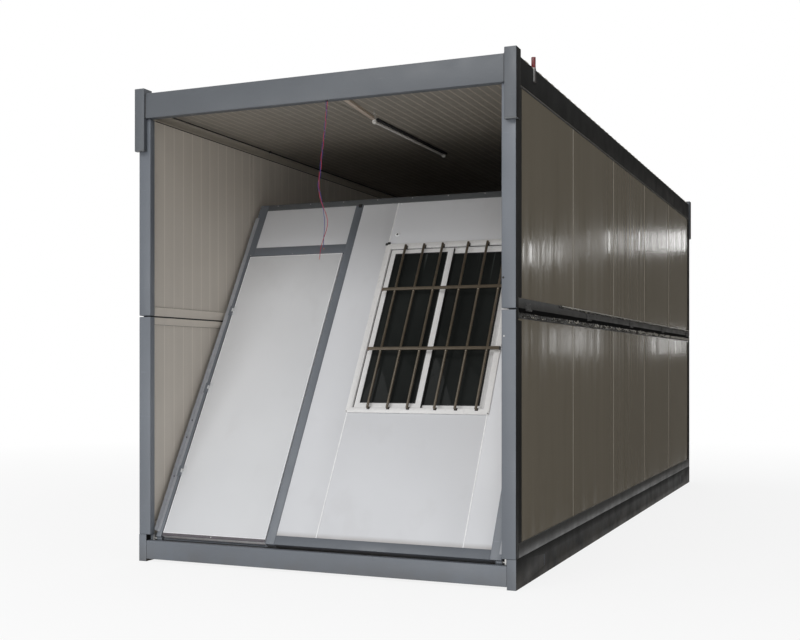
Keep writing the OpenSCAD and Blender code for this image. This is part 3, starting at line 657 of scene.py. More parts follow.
def ribbed_outline(a0, a1, outside, inside, pitch, skins):
    """Outline of a panel across its ribs, from a0 to a1, and the material of each edge."""
    outer_skin, inner_skin, rib_highlight_skin, edge_skin = skins
    into = 1 if outside > inside else -1
    points = [(a0, outside - into * EDGE_BREAK), (a0 + EDGE_BREAK, outside),
              (a1 - EDGE_BREAK, outside), (a1, outside - into * EDGE_BREAK)]
    finishes = [edge_skin, outer_skin, edge_skin, edge_skin]
    count = int((a1 - a0 - 2 * RIB_W) / pitch) + 1
    first = (a0 + a1) / 2 + (count - 1) * pitch / 2
    points.append((a1, inside))
    finishes.append(inner_skin)
    for k in range(count):
        middle = first - k * pitch
        for step, depth in ((0.5, 0), (0.2, 1), (-0.2, 1), (-0.5, 0)):
            points.append((middle + step * RIB_W, inside + into * depth * RIB_DEPTH))
        finishes += [rib_highlight_skin, rib_highlight_skin, rib_highlight_skin, inner_skin]
    points.append((a0, inside))
    finishes.append(edge_skin)
    return points, finishes


def on_face(face, sign, behind, proud):
    """Low and high x of a strip that lies on the outer face of a side."""
    return sorted((face - sign * behind, face + sign * proud))


def side_panels(side, sign):
    """The sandwich panels of a side wall, and the strips that cover their joints and ends."""
    panels, trims = Shape(), Shape()
    boxes = solids(f"{side}_wall_panels")
    ends = sorted({round(y, 4) for low, high in boxes for y in (low.y, high.y)})
    skins = (wall_outside, wall_inside, wall_rib_highlight, joint_trim)

    def strip(face, proud, behind, y0, y1, z0, z1, material, chamfer):
        x0, x1 = on_face(face, sign, behind, proud)
        trims.slab((x0, y0, z0), (x1, y1, z1), material, chamfer)

    for low, high in boxes:
        outside, inside = (high.x, low.x) if sign > 0 else (low.x, high.x)
        outline, finishes = ribbed_outline(low.y, high.y, outside, inside, RIB_PITCH, skins)
        panels.profile(outline, lambda a, b, c: (b, a, c), low.z, high.z, finishes, joint_trim)
        foot, top = low.z + 0.002, high.z - SEAM_TOP_GAP
        # a narrow strip covers the joint with the next panel
        y = high.y + SEAM_HALF_GAP
        if y < ends[-1]:
            strip(outside, 0.0012, 0.002, y - SEAM_HALF_W, y + SEAM_HALF_W, foot, top, joint_trim, 0.0004)
        # a dark seal lies between the upper panels and the roof beam
        if high.z > 2.0:
            strip(outside, 0.0025, 0.002, low.y, high.y, high.z - SEAL_H, high.z, black_rubber, 0.0004)
        # a folded channel holds the first and last panel at the posts, in the darker grey painted as shade
        for y0, y1 in ((low.y, low.y + CHANNEL_W), (high.y - CHANNEL_W, high.y)):
            if abs(y1 - ends[-1]) < SAME or abs(y0 - ends[0]) < SAME:
                strip(outside, 0.003, 0.001, y0, y1, foot, top, side_steel, 0.0008)
    sheets = panels.piece(f"{side}_wall_sandwich_panels", HOUSE, "wall_panel", FLAT_ANGLE)
    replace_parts(sheets, f"{side}_wall_panels")
    trims.piece(f"{side}_wall_joint_strips", HOUSE, "wall_panel")


for side, sign in SIDES:
    rounded(f"{side}_wall_posts", HOUSE, frame_steel, 0.004, post_grey)
    # the rails' outer faces are in the dark grey painted as shade
    rounded(f"{side}_wall_rails", HOUSE, rail_steel, 0.003,
            lambda centre, normal: wall_inside if abs(centre.x) < WALL_INSIDE_X else None)
    rounded(f"{side}_fold_hinges", HOUSE, hinge_steel, 0.0006)
    side_panels(side, sign)


# ---- Film that closes the fold outside ----

FILM_ROWS = 7
FILM_STEP = 0.009
FILM_MOST = 0.0095
GLINT_STEP = 0.022
GLINT_PROUD = 0.0082
GLINT_R = 0.0015
TOP_GLINT_R = 0.0017
PLAIN_TOP_SHARE = 0.14


def noise_at(*place):
    """Smooth noise at a place, from about -1 to 1."""
    return noise.noise(Vector(place))


def creased_film(shape, x, sign, y0, y1, low, high, depth):
    """A strip of film along the fold: its edges wander and its face is creased."""
    rings = []
    count = int((y1 - y0) / FILM_STEP)
    for i in range(count + 1):
        y = y0 + (y1 - y0) * i / count
        swelling = 0.6 + 0.9 * max(0.0, noise_at(y * 2.3, 7.7, sign))
        ring = []
        for k in range(FILM_ROWS):
            level = k / (FILM_ROWS - 1)
            crease = noise_at(y * 55, level * 4.1, sign * 5.0)
            crease += 0.8 * noise_at(y * 21, level * 2.3, sign * 9.0)
            swell = math.sin(math.pi * level) * 0.7 + 0.2
            out = depth * swelling * (swell + 0.7 * crease)
            wander = 0.22 * (high - low) * noise_at(y * 11, level * 2.0, 3.3)
            ring.append((x + sign * min(FILM_MOST, max(0.0004, out)), y,
                         low + (high - low) * level + wander))
        rings.append(ring)
    back = [[(x - sign * 0.001, p[1], p[2]) for p in reversed(ring)] for ring in rings]
    shape.solid([ring + behind for ring, behind in zip(rings, back)], seal_foil)


def film_glints(side, sign, face, start, end, low_top, top):
    """Pale rods along the film's sharp creases, painted as the glints they catch, denser towards the rear."""
    glints = Shape()
    count = int((end - start - 0.1) / GLINT_STEP)
    x = face + sign * GLINT_PROUD
    for k in range(count):
        y = start + 0.05 + k * GLINT_STEP
        along = k / count
        # each row's height, how far it wanders and its share of the length
        rows = ((top - 0.003, 0.006, 0.75), (low_top - 0.021, 0.018, 0.32 + 0.45 * along),
                (low_top - 0.03, 0.012, 0.1 + 0.6 * along))
        for row, (base_z, height, share) in enumerate(rows):
            if row == 0 and along < PLAIN_TOP_SHARE:
                continue
            if noise_at(y * 7.3, row * 5.0, sign * 2.0) * 0.5 + 0.5 > share:
                continue
            z0 = base_z + height * noise_at(y * 31, row * 3.0, 1.0)
            z1 = base_z + height * noise_at((y + GLINT_STEP) * 31, row * 3.0, 1.0)
            glints.rod((x, y, z0), (x, y + GLINT_STEP * 1.02, z1),
                       GLINT_R if row else TOP_GLINT_R, film_glint_paint, 5)
    glints.piece(f"{side}_fold_film_painted_glints", HOUSE, "black_rubber")


def fold_screws(side, sign, face, start, end, rail_z):
    """The screws of the fold's hinges, and a row of small ones along the upper rail."""
    screws = Shape()
    out = (sign, 0, 0)
    for low, high in solids(f"{side}_fold_hinges"):
        middle = (low.y + high.y) / 2
        for dy in (-0.034, 0.034):
            for z in (low.z + 0.011, high.z - 0.011):
                screws.head((face + sign * 0.002, middle + dy, z), out, 0.005, 0.0028, hinge_steel, 10)
    y = start + 0.35
    while y < end:
        screws.head((face, y, rail_z + 0.018), out, 0.0035, 0.002, hinge_steel, 8)
        y += 0.47
    screws.piece(f"{side}_fold_screws", HOUSE, "hinge_steel")


for side, sign in SIDES:
    lower_rail, upper_rail = solids(f"{side}_wall_rails")[1:3]
    face = upper_rail[1].x if sign > 0 else upper_rail[0].x
    start, end = upper_rail[0].y, upper_rail[1].y
    top, low_top = upper_rail[1].z, lower_rail[1].z
    film = Shape()
    creased_film(film, face, sign, start + 0.8, end - 0.02, top - 0.015, top + 0.001, 0.006)
    creased_film(film, face, sign, start + 0.02, end - 0.02, low_top - 0.036, low_top - 0.012, 0.007)
    # a near-black strip over the fold's gap, painted as the shade in it
    x0, x1 = on_face(face, sign, 0.0, 0.0035)
    film.slab((x0, start + 0.004, low_top - 0.013), (x1, end - 0.004, low_top + 0.009),
              fold_gap_painted_shade, 0.0008)
    film.piece(f"{side}_fold_film", HOUSE, "black_rubber", 20.0)
    film_glints(side, sign, face, start, end, low_top, top)
    fold_screws(side, sign, face, start, end, upper_rail[0].z)

    seal = Shape()
    seal.slab((lower_rail[0].x + 0.012, start + 0.004, low_top + SEAL_GAP),
              (lower_rail[1].x - 0.004, end - 0.004, upper_rail[0].z - SEAL_GAP), black_rubber, 0.0008)
    seal.piece(f"{side}_fold_seal", HOUSE, "black_rubber")


# ---- Roof ----

for node in ("roof_front_beam", "roof_rear_beam"):
    rounded(node, HOUSE, roof_shade_steel, 0.004)


COVER_X, COVER_Z = 1.02, 2.45
CORNER_SIDE_X = 1.05


def roof_beam_paint(centre, normal):
    """Inside, the roof's side beams lie in the pale cover of the walls."""
    if abs(centre.x) < COVER_X and centre.z < COVER_Z and normal.z < 0.7:
        return wall_cover
    return end_grey(centre, normal)


# the roof's side beams are in the darker grey painted as shade, outside their ends and pale inner faces
for side, sign in SIDES:
    rounded(f"roof_{side}_beam", HOUSE, side_steel, 0.002, roof_beam_paint)
# the roof corners' outer side faces get the darker grey painted as shade
rounded("roof_corners", HOUSE, roof_shade_steel, 0.003,
        lambda centre, normal: side_steel if abs(normal.x) > 0.7 and abs(centre.x) > CORNER_SIDE_X else None)
rounded("roof_sheet", HOUSE, roof_sheet, 0.001)

CEILING_PITCH = 0.05
ceiling = Shape()
ceiling_skins = (roof_sheet, ceiling_skin, ceiling_rib_highlight, joint_trim)
for low, high in solids("ceiling_panels"):
    outline, finishes = ribbed_outline(low.x, high.x, high.z, low.z, CEILING_PITCH, ceiling_skins)
    ceiling.profile(outline, lambda a, b, c: (a, c, b), low.y, high.y, finishes, joint_trim)
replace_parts(ceiling.piece("ceiling_sandwich_panels", HOUSE, "ceiling_panel", FLAT_ANGLE), "ceiling_panels")


# ---- Rear wall ----

rounded("rear_wall_stiles", HOUSE, frame_steel, 0.002)
rounded("rear_wall_rails", HOUSE, frame_steel, 0.002)
rounded("rear_wall_panels", HOUSE, end_skin, 0.002)


# ---- Fittings ----

def ceiling_lamp():
    """A batten lamp: its dark box, reflector edge, tube and two end caps."""
    low, high = whole("ceiling_light")
    tube_r, cap_w, rim = 0.0075, 0.026, 0.0012
    tube_x, tube_z = low.x + tube_r + 0.001, low.z + tube_r + 0.004
    lamp = Shape()
    lamp.slab((low.x + 0.014, low.y + 0.01, high.z - 0.012), (high.x, high.y - 0.01, high.z),
              black_rubber, 0.002)
    lamp.slab((low.x + 0.004, low.y + 0.02, high.z - 0.009), (low.x + 0.014, high.y - 0.02, high.z),
              white_plastic, 0.001)
    lamp.rod((tube_x, low.y + 0.02, tube_z), (tube_x, high.y - 0.02, tube_z), tube_r, lamp_tube, 20, 0.001)
    for y0, y1 in ((low.y, low.y + cap_w), (high.y - cap_w, high.y)):
        lamp.slab((low.x, y0, low.z), (low.x + 0.02, y1, high.z), white_plastic, 0.003)
        lamp.rod((tube_x, y0 + 0.001, tube_z), (tube_x, y1 + 0.004, tube_z), tube_r + rim,
                 white_plastic, 20, 0.001)
    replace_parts(lamp.piece("ceiling_lamp", HOUSE, "white_plastic"), "ceiling_light")


def lifting_bar():
    """The bar on the right side beam, red above the beam, with a pale strip on one edge painted as a highlight.
    """
    low, high = whole("lifting_bar")
    beam_top = whole("roof_right_beam")[1].z + 0.001
    dark = plain("bar_dark", srgb(52, 46, 46), 0.35, 0.5, 0.0006, 80.0, 0.2)
    rounded("lifting_bar", HOUSE, dark, 0.002,
            lambda centre, normal: red_paint if centre.z > beam_top else None)
    # a pale strip painted as the highlight on the bar's edge
    edge = Shape()
    edge.slab((high.x - 0.0085, low.y - 0.0035, low.z + 0.004), (high.x - 0.003, low.y + 0.001, beam_top),
              bolt_steel, 0.0006)
    edge.piece("lifting_bar_painted_highlight", HOUSE, "hinge_steel")


WELD_BEADS = 34
WELD_FOOT_Z = 2.392
# Heights of a screw and a small hole in the right front posts
POST_SCREW_Z, POST_HOLE_Z = 1.196, 1.472


def post_details():
    """A screw in the right front posts, a black disc painted as the shade in a small hole there, and the lips
    and welds of the roof corners.
    """
    details = Shape()
    lower, upper = solids("right_wall_posts")[:2]
    details.head((lower[0].x + 0.0125, lower[0].y, POST_SCREW_Z), FRONT, 0.0042, 0.002, bolt_steel, 10)
    # a black disc painted as the shade in the hole
    details.head((upper[0].x + 0.009, upper[0].y, POST_HOLE_Z), FRONT, 0.0055, 0.0012, black_rubber, 12)
    for low, high in solids("roof_corners"):
        toward = 1 if low.y > 0 else -1
        outer_y = high.y if toward > 0 else low.y
        y0, y1 = sorted((outer_y, outer_y - toward * 0.028))
        # each lip is in the darker grey painted as the shadow under the corner
        details.slab((low.x + 0.001, y0, low.z - 0.006), (high.x - 0.001, y1, low.z + 0.002),
                     top_rail_shade_steel, 0.001)
        seam_x, out = (high.x, 1) if high.x < 0 else (low.x, -1)
        for k in range(WELD_BEADS):
            z = WELD_FOOT_Z + (high.z - 0.03 - WELD_FOOT_Z) * k / (WELD_BEADS - 1)
            jog = 0.0012 * noise_at(k * 1.7, low.x, low.y)
            details.head((seam_x + out * (0.0012 + jog), outer_y - toward * 0.0102, z),
                         (out * 0.5, toward * 1.0, 0), 0.0046, 0.0022, black_rubber, 8)
    details.piece("post_and_corner_details", HOUSE, "frame_steel")


SCREW_PITCH = 0.13


def roof_screws():
    """Screws with washers along both edges of the roof sheet, and the pale ends of its
    ribs that show on top of the side beams."""
    low, high = whole("roof_sheet")
    screws = Shape()
    count = int((high.y - low.y - 0.1) / SCREW_PITCH)
    places = [(low.y + high.y) / 2 + (k - count / 2) * SCREW_PITCH for k in range(count + 1)]
    for y in places:
        for x in (low.x + 0.009, high.x - 0.009):
            screws.head((x, y, high.z), (0, 0, 1), 0.008, 0.0025, bolt_steel, 12)
            screws.head((x, y, high.z + 0.002), (0, 0, 1), 0.005, 0.0065, bolt_steel, 6)
    for side, sign in SIDES:
        beam_low, beam_high = whole(f"roof_{side}_beam")
        x0, x1 = on_face(beam_high.x if sign > 0 else beam_low.x, sign, 0.01, 0.0008)
        for k, y in enumerate(places):
            half = 0.03 + 0.012 * noise_at(k * 3.1, sign, 0.4)
            screws.slab((x0, y - half, beam_high.z - 0.0045), (x1, y + half, beam_high.z + 0.0012),
                        joint_trim, 0.0005)
    screws.piece("roof_screws", HOUSE, "roof_sheet")


CLIP_YS = (-1.5, 0.55, 2.1)
HOOKS = ((0.101, -2.363), (0.066, -2.262))
HOOK_STEPS = 8


def ceiling_fittings():
    """Black strips painted as the shade in the gaps between ceiling and walls, a few clips in them and two wire
    hooks.
    """
    low, high = whole("ceiling_panels")
    fittings = Shape()
    for side, sign in SIDES:
        web = min(abs(box[i].x) for box in solids(f"roof_{side}_beam") for i in (0, 1))
        x0, x1 = sorted((sign * (web - 0.004), sign * (web + 0.002)))
        # black strips painted as the shade in the gaps at the ceiling and at the beam's foot
        fittings.slab((x0, low.y + 0.02, low.z - 0.007), (x1, high.y - 0.02, low.z), black_rubber, 0.001)
        fittings.slab((x0 + 0.001, low.y + 0.04, 2.386), (x1 - 0.001, high.y - 0.04, 2.3895),
                      black_rubber, 0.0008)
        x0, x1 = sorted((sign * (web - 0.016), sign * (web - 0.002)))
        for y in CLIP_YS:
            fittings.slab((x0, y - 0.012, low.z - 0.014), (x1, y + 0.012, low.z), hinge_steel, 0.002)
            fittings.head(((x0 + x1) / 2, y, low.z - 0.014), (0, 0, -1), 0.005, 0.005, bolt_steel, 10)
    for x, y in HOOKS:
        radius = 0.006
        points = [Vector((x, y, low.z))]
        for k in range(HOOK_STEPS + 1):
            turn = math.radians(90 + 270 * k / HOOK_STEPS)
            points.append(Vector((x + radius * math.cos(turn), y, low.z - 0.018 + radius * math.sin(turn))))
        for start, end in zip(points, points[1:]):
            fittings.rod(start, end, 0.0011, bolt_steel, 8)
    fittings.piece("ceiling_fittings", HOUSE, "black_rubber")


ceiling_lamp()
rounded("cable_trunking", HOUSE, conduit_plastic, 0.0015)
rounded("wire_gland", HOUSE, black_rubber, 0.0008)
lifting_bar()
rounded("front_wall_pivots", HOUSE, bolt_steel, 0.0008)
post_details()
roof_screws()
ceiling_fittings()


# ---- Front wall ----

TO_WALL = WALL.inverted()
TOP_RAIL_Z = 2.2
CAULK_WIDEST = 0.006
FLAP_REACH = 0.0095
FLAP_T = 0.0012
FLAP_STEPS = 90
RIVETS, RIVET_PITCH, FIRST_RIVET_X = 8, 0.225, -0.84
stile_low = solids("front_wall_stiles", WALL)[0][0]
wall_face = stile_low.y
top_rail_low, top_rail_high = solids("front_wall_rails", WALL)[0]
panel_boxes = solids("front_wall_panels", WALL)


def rail_paint(centre, normal):
    """The top rail gets the darkest grey, painted as the shade under the roof; the foot rail the next, also
    painted darker as shade.
    """
    return top_rail_shade_steel if (TO_WALL @ centre).z > TOP_RAIL_Z else foot_rail_shade_steel


for node in ("front_wall_stiles", "front_wall_mullion", "front_wall_transom_bar"):
    rounded(node, FRONT_WALL, frame_steel, 0.002)
rounded("front_wall_rails", FRONT_WALL, frame_steel, 0.002, rail_paint)
rounded("front_wall_panels", FRONT_WALL, end_skin, 0.0012)
rounded("front_wall_edge_strips", FRONT_WALL, edge_strip, 0.0012)


def front_wall_caulk():
    """Pale caulk in the upright joints between the panels."""
    caulk = Shape(WALL)
    for low, high in panel_boxes:
        for other_low, other_high in panel_boxes:
            gap = other_low.x - high.x
            foot, head = max(low.z, other_low.z), min(high.z, other_high.z)
            if 0 < gap < CAULK_WIDEST and foot < head:
                caulk.slab((high.x - 0.0014, low.y - 0.0022, foot),
                           (other_low.x + 0.0014, low.y + 0.004, head), pale_caulk, 0.0005)
    caulk.piece("front_wall_caulk", FRONT_WALL, "white_plastic")


def flap_bend(along):
    """How far forward a flap is bent at a height: most at its foot."""
    return 0.021 * (1 - min(1.0, max(0.0, (along - 0.55) / 0.95)))


def front_wall_flaps():
    """Thin sheet flaps on the wall's upright edges, bent forward towards the foot."""
    for side, sign in SIDES:
        flap = Shape(WALL)
        edge = sign * abs(stile_low.x)
        inner = edge - sign * 0.014
        rings = []
        for i in range(FLAP_STEPS + 1):
            along = 0.03 + 2.17 * i / FLAP_STEPS
            outer_y = wall_face - flap_bend(along) - 0.0012 - 0.0012 * noise_at(along * 6, sign, 1.0)
            outer = edge + sign * (FLAP_REACH + 0.0007 * noise_at(along * 9, sign, 4.0))
            rings.append([(inner, wall_face - FLAP_T, along), (edge, wall_face - 0.0014, along),
                          (outer, outer_y - FLAP_T, along), (outer, outer_y, along),
                          (edge, wall_face - 0.0002, along), (inner, wall_face, along)])
        flap.solid(rings, edge_strip)
        # black discs painted as the shade in screw holes, each at its height and share of the flap's reach
        for along, share in ((0.363, 0.35), (0.612, 0.3), (0.724, 0.3)):
            place = (edge + sign * FLAP_REACH * share, wall_face - FLAP_T - flap_bend(along) * share, along)
            flap.head(place, (-sign * 0.7, -0.7, 0), 0.0046, 0.0014, black_rubber, 12)
        flap.piece(f"front_wall_{side}_flap", FRONT_WALL, "edge_strip", 25.0)


def front_wall_fasteners():
    """Rivets, screws and small clips that sit on the front wall."""
    small = Shape(WALL)
    rivet_z = (top_rail_low.z + top_rail_high.z) / 2 + 0.012
    for k in range(RIVETS):
        small.head((FIRST_RIVET_X + k * RIVET_PITCH, top_rail_low.y, rivet_z), FRONT,
                   0.0038, 0.002, bolt_steel, 10)
    leaf_low, leaf_high = whole("door_leaf", WALL)
    for x, z in ((leaf_low.x, leaf_high.z + 0.012), (-0.64, leaf_high.z + 0.012), (leaf_high.x - 0.006, 0.886)):
        small.head((x, wall_face, z), FRONT, 0.0035, 0.0018, bolt_steel, 10)
    small.head((0.0, wall_face + 0.0015, 2.248), FRONT, 0.0045, 0.003, pale_caulk, 10)
    mullion_low, mullion_high = whole("front_wall_mullion", WALL)
    middle = (mullion_low.x + mullion_high.x) / 2
    small.slab((middle + 0.004, wall_face - 0.006, mullion_high.z - 0.018),
               (middle + 0.026, wall_face + 0.001, mullion_high.z + 0.006), black_rubber, 0.002)
    small.slab((middle - 0.012, wall_face - 0.004, mullion_high.z - 0.006),
               (middle + 0.004, wall_face + 0.001, mullion_high.z + 0.002), kick_steel, 0.001)
    small.piece("front_wall_fasteners", FRONT_WALL, "hinge_steel")


front_wall_caulk()
front_wall_flaps()
front_wall_fasteners()


# ---- Window ----

rounded("window_frame", FRONT_WALL, window_white, 0.0018)
rounded("window_sashes", FRONT_WALL, window_white, 0.0015)
rounded("window_glass", FRONT_WALL, dark_glass, 0.0005)
rounded("window_guard", FRONT_WALL, bronze_bar, 0.001)
rounded("cable_grommet", FRONT_WALL, pale_caulk, 0.0008)

trim_low, trim_high = whole("window_frame", WALL)
sash_boxes = solids("window_sashes", WALL)
glass_boxes = solids("window_glass", WALL)


BAR_Y = -0.045
CROSS_BARS = (1.19, 1.595)
GUARD_MIDDLE = 0.4015
PANE_OFFSET = 0.18925
BAR_PITCH = 0.113
SEAL_R = 0.0004


def seal_ring(shape, low, high, width, y0, y1):
    """A flat ring of four black strips, just inside the given corners."""
    for x0, x1, z0, z1 in ((low.x, low.x + width, low.z, high.z),
                           (high.x - width, high.x, low.z, high.z),
                           (low.x + width, high.x - width, low.z, low.z + width),
                           (low.x + width, high.x - width, high.z - width, high.z)):
        shape.slab((x0, y0, z0), (x1, y1, z1), black_rubber, SEAL_R)


def window_seals():
    """Black seals round the panes and pile seals where the sashes run in the frame."""
    seals = Shape(WALL)
    for (low, high), (glass_low, glass_high) in zip(sash_boxes, glass_boxes):
        grown = Vector((0.0025, 0, 0.0025))
        seal_ring(seals, glass_low - grown, glass_high + grown, 0.0055, low.y - 0.0004,
                  glass_low.y + 0.0005)
    (near_low, near_high), (far_low, far_high) = sash_boxes
    y0, y1 = near_low.y - 0.0012, near_low.y + 0.001
    seals.slab((near_low.x - 0.001, y0, near_low.z), (near_low.x + 0.0035, y1, near_high.z),
               black_rubber, SEAL_R)
    seals.slab((near_low.x, y0, near_high.z - 0.0035), (far_high.x, y1, near_high.z + 0.001),
               black_rubber, SEAL_R)
    seals.slab((near_high.x - 0.001, near_low.y + 0.002, near_low.z + 0.002),
               (near_high.x + 0.0025, far_low.y, near_high.z - 0.004), black_rubber, SEAL_R)
    seals.piece("window_seals", FRONT_WALL, "black_rubber")


def window_trim_fixings():
    """Caps and screws at the corners of the trim, and a black rod painted as the shade in the grommet's hole.
    """
    fixings = Shape(WALL)
    fixings.slab((trim_low.x - 0.006, trim_low.y - 0.004, trim_high.z - 0.01),
                 (trim_low.x + 0.01, trim_low.y + 0.004, trim_high.z + 0.006), black_rubber, 0.002)
    fixings.slab((trim_low.x + 0.006, trim_low.y - 0.004, trim_high.z - 0.004),
                 (trim_low.x + 0.024, trim_low.y + 0.004, trim_high.z + 0.012), black_rubber, 0.002)
    for x in (trim_low.x + 0.006, trim_high.x - 0.006):
        fixings.head((x, trim_low.y, trim_low.z + 0.006), FRONT, 0.0034, 0.0016, black_rubber, 10)
        fixings.head((x + 0.002, trim_low.y, trim_low.z + 0.018), FRONT, 0.0022, 0.0014, bolt_steel, 10)
    low, high = whole("cable_grommet", WALL)
    middle = (low + high) / 2
    # a black rod painted as the shade in the grommet's hole
    fixings.rod((middle.x, low.y + 0.0006, middle.z), (middle.x, high.y, middle.z), 0.0075, black_rubber, 20)
    fixings.piece("window_fixings", FRONT_WALL, "black_rubber")


def guard_bar_places():
    """Where the guard's upright bars stand, three in front of each pane."""
    return [GUARD_MIDDLE + pane * PANE_OFFSET + k * BAR_PITCH for pane in (-1, 1) for k in (-1, 0, 1)]


def guard_fixings():
    """Bolted feet of the guard's bars, weld beads at its crossings and its end caps."""
    fixings = Shape(WALL)
    low, high = whole("window_guard", WALL)
    foot_half, cap_half = 0.0095, 0.0098
    for x in guard_bar_places():
        for z0, z1 in ((high.z - 0.02, high.z + 0.004), (low.z - 0.003, low.z + 0.014)):
            fixings.slab((x - foot_half, high.y - 0.001, z0), (x + foot_half, high.y + 0.0035, z1),
                         hinge_steel, 0.0015)
        for z in CROSS_BARS:
            fixings.head((x + 0.001, BAR_Y - 0.0062, z - 0.0125), FRONT, 0.0036, 0.0024, weld_steel, 10)
    for z in CROSS_BARS:
        for x0, x1, material in ((high.x - 0.0055, high.x + 0.0004, black_rubber),
                                 (low.x - 0.0004, low.x + 0.004, red_oxide)):
            fixings.slab((x0, low.y - 0.0004, z - cap_half), (x1, low.y + 0.0125, z + cap_half),
                         material, 0.001)
    fixings.piece("window_guard_fixings", FRONT_WALL, "bronze_bar")


window_seals()
window_trim_fixings()
guard_fixings()


# ---- Door ----

def door_paint(centre, normal):
    """The leaf's edges are brighter than its face."""
    return door_edge if abs((TO_WALL.to_3x3() @ normal).y) < 0.7 else None


rounded("door_leaf", DOOR, door_skin, 0.0015, door_paint)
rounded("door_hinge_barrels", FRONT_WALL, frame_steel, 0.0004)
rounded("door_hinge_leaves", DOOR, door_skin, 0.0004)


def door_trims():
    """Bright edging round the leaf, a kick rail at its foot and the hinges' screws."""
    low, high = whole("door_leaf", WALL)
    bead, kick = 0.0055, 0.016
    left, right, foot = low.x + bead, high.x - bead * 0.7, low.z + kick
    y0, y1 = low.y - 0.0008, low.y + 0.002
    trims = Shape(WALL)
    for x0, x1, z0, z1 in ((low.x, left, foot, high.z), (right, high.x, foot, high.z),
                           (left, right, high.z - bead * 0.8, high.z), (left, right, foot, foot + 0.005)):
        trims.slab((x0, y0, z0), (x1, y1, z1), door_edge, 0.0005)
    trims.slab((low.x, low.y - 0.0016, low.z), (high.x, y1, foot), kick_steel, 0.0006)
    trims.head((-0.626, low.y - 0.0014, low.z + kick / 2), FRONT, 0.004, 0.0018, bolt_steel, 10)
    for hinge_low, hinge_high in solids("door_hinge_leaves", WALL):
        trims.head((low.x + 0.006, hinge_low.y + 0.0075, (hinge_low.z + hinge_high.z) / 2), FRONT,
                   0.0036, 0.002, bolt_steel, 10)
    trims.piece("door_trims", DOOR, "door_panel")


door_trims()


# ---- Floor, light and background ----

WHITE = (1, 1, 1, 1)
FLOOR_HALF = 60.0
FLOOR_NEAR, FLOOR_FAR = 3.0, 9.0
WORLD_LEVEL = 0.36
CARD_X, CARD_Y = (1.3, 9.0), (-7.0, 10.0)
CARD_FOOT, CARD_TOP = 0.004, 9.0


def staged(name, points, faces, material):
    """A piece of the studio, which is no part of the house."""
    data = bpy.data.meshes.new(name)
    data.from_pydata(points, [], faces)
    data.materials.append(material)
    obj = new_object(name, data)
    return obj


def studio_floor():
    """A pale floor that turns into the white background with the distance from the house."""
    finish = bpy.data.materials.new("studio_floor")
    made = Tree(finish)
    matt = made.node("ShaderNodeBsdfDiffuse")
    matt.inputs["Color"].default_value = (0.86, 0.86, 0.86, 1)
    reach = made.node("ShaderNodeVectorMath", operation="LENGTH")
    made.put(made.node("ShaderNodeTexCoord").outputs["Object"], reach.inputs[0])
    fade = made.span(reach.outputs["Value"], FLOOR_NEAR, FLOOR_FAR, 0.85, 1.0)
    rays = made.node("ShaderNodeLightPath").outputs
    shown = made.calc("ADD", rays["Is Camera Ray"], rays["Is Glossy Ray"])
    white = made.glow("ShaderNodeEmission", WHITE)
    surface = made.blend(made.calc("MULTIPLY", shown, fade), matt.outputs[0], white)
    made.put(surface, made.node("ShaderNodeOutputMaterial").inputs[0])
    h = FLOOR_HALF
    staged("studio_floor", [(-h, -h, 0), (h, -h, 0), (h, h, 0), (-h, h, 0)], [(0, 1, 2, 3)], finish)


def studio_card():
    """A dark card at the right, seen only in reflections, keeps the side wall's gloss deep."""
    finish = bpy.data.materials.new("studio_card")
    made = Tree(finish)
    made.put(made.glow("ShaderNodeEmission", (0.075, 0.068, 0.058, 1)),
             made.node("ShaderNodeOutputMaterial").inputs[0])
    (x0, x1), (y0, y1) = CARD_X, CARD_Y
    points = [(x0, y0, CARD_FOOT), (x1, y0, CARD_FOOT), (x1, y1, CARD_FOOT), (x0, y1, CARD_FOOT),
              (x1, y1, CARD_TOP), (x0, y1, CARD_TOP)]
    card = staged("studio_card", points, [(0, 1, 2, 3), (3, 2, 4, 5)], finish)
    card.visible_camera = card.visible_diffuse = card.visible_shadow = False


def studio_world():
    """Soft light from all round, which reads as white where the camera or a gloss sees it."""
    world = bpy.data.worlds.new("studio")
    bpy.context.scene.world = world
    made = Tree(world)
    rays = made.node("ShaderNodeLightPath").outputs
    seen = made.calc("ADD", rays["Is Camera Ray"], rays["Is Glossy Ray"], clamp=True)
    seen = made.calc("ADD", seen, rays["Is Transmission Ray"], clamp=True)
    soft = made.glow("ShaderNodeBackground", (0.97, 0.985, 1.0, 1), WORLD_LEVEL)
    made.put(made.blend(seen, soft, made.glow("ShaderNodeBackground", WHITE)),
             made.node("ShaderNodeOutputWorld").inputs[0])


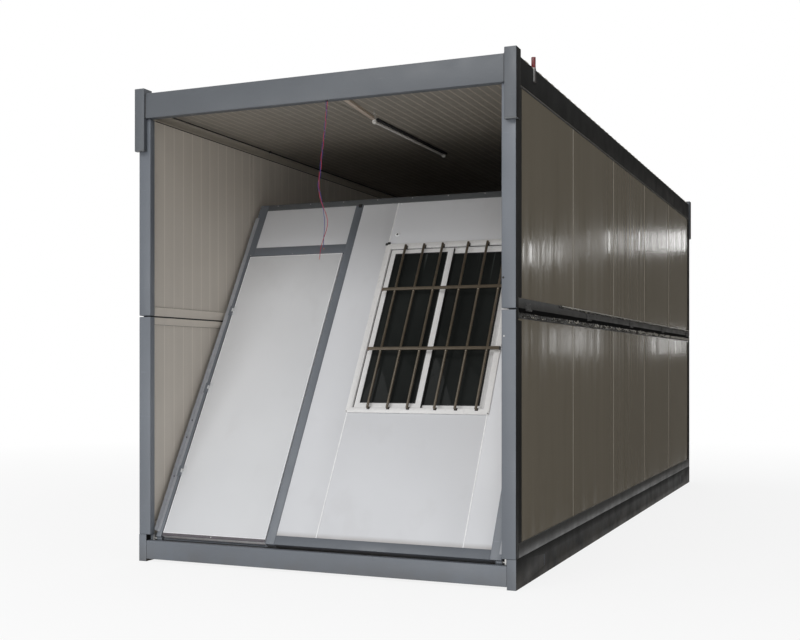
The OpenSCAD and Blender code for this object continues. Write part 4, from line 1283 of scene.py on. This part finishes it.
def soft_box(name, place, target, size, watts):
    """A rectangular studio lamp that points at a target."""
    light = bpy.data.lights.new(name, "AREA")
    light.shape = "RECTANGLE"
    light.size, light.size_y = size
    light.energy = watts
    lamp = new_object(name, light)
    lamp.location = place
    lamp.rotation_euler = (Vector(target) - Vector(place)).to_track_quat("-Z", "Y").to_euler()
    lamp.visible_camera = False


LAMP_ROW_Y = 9.0
# x, z, width, height and brightness of each lamp in the far rows
UPPER_LAMPS = ((2.0, 2.81, 0.12, 0.28, 4.0), (2.25, 2.81, 0.06, 0.28, 5.6), (2.53, 2.84, 0.05, 0.28, 7.0),
               (2.98, 2.84, 0.05, 0.28, 7.0), (3.45, 2.76, 0.04, 0.28, 2.5),
               (3.85, 2.72, 0.12, 0.28, 3.8), (4.08, 2.72, 0.12, 0.28, 3.6))
LOWER_LAMPS = ((2.02, 1.4, 0.08, 0.34, 3.0), (2.28, 1.4, 0.06, 0.34, 3.2), (3.32, 1.42, 0.1, 0.36, 3.4),
               (3.58, 1.42, 0.06, 0.36, 3.0), (3.84, 1.42, 0.1, 0.36, 1.8))

studio_floor()
studio_card()
studio_world()
soft_box("key", (-2.0, -12.5, 2.2), (0, -2.5, 0.9), (6.0, 3.0), 140)
soft_box("high_key", (-1.0, -9.0, 6.6), (0, -2.2, 0.6), (5.0, 3.0), 190)
soft_box("fill", (3.2, -12.0, 1.4), (-0.6, -2.0, 1.0), (3.0, 2.0), 130)
soft_box("rear", (-2.2, 11.0, 3.4), (0, 2.9, 1.2), (3.0, 3.0), 170)
soft_box("top", (-1.0, 0.5, 8.0), (0, 0.5, 0), (4.0, 5.0), 110)
# far rows of lamps, whose images lie as bright patches in the side wall's gloss
for name, row in (("upper", UPPER_LAMPS), ("lower", LOWER_LAMPS)):
    for k, (x, z, width, height, level) in enumerate(row):
        soft_box(f"far_{name}_{k}", (x, LAMP_ROW_Y, z), (x - 0.5, 0.0, z - 0.6), (width, height),
                 math.pi * width * height * level)

bpy.context.scene.view_settings.view_transform = "Standard"
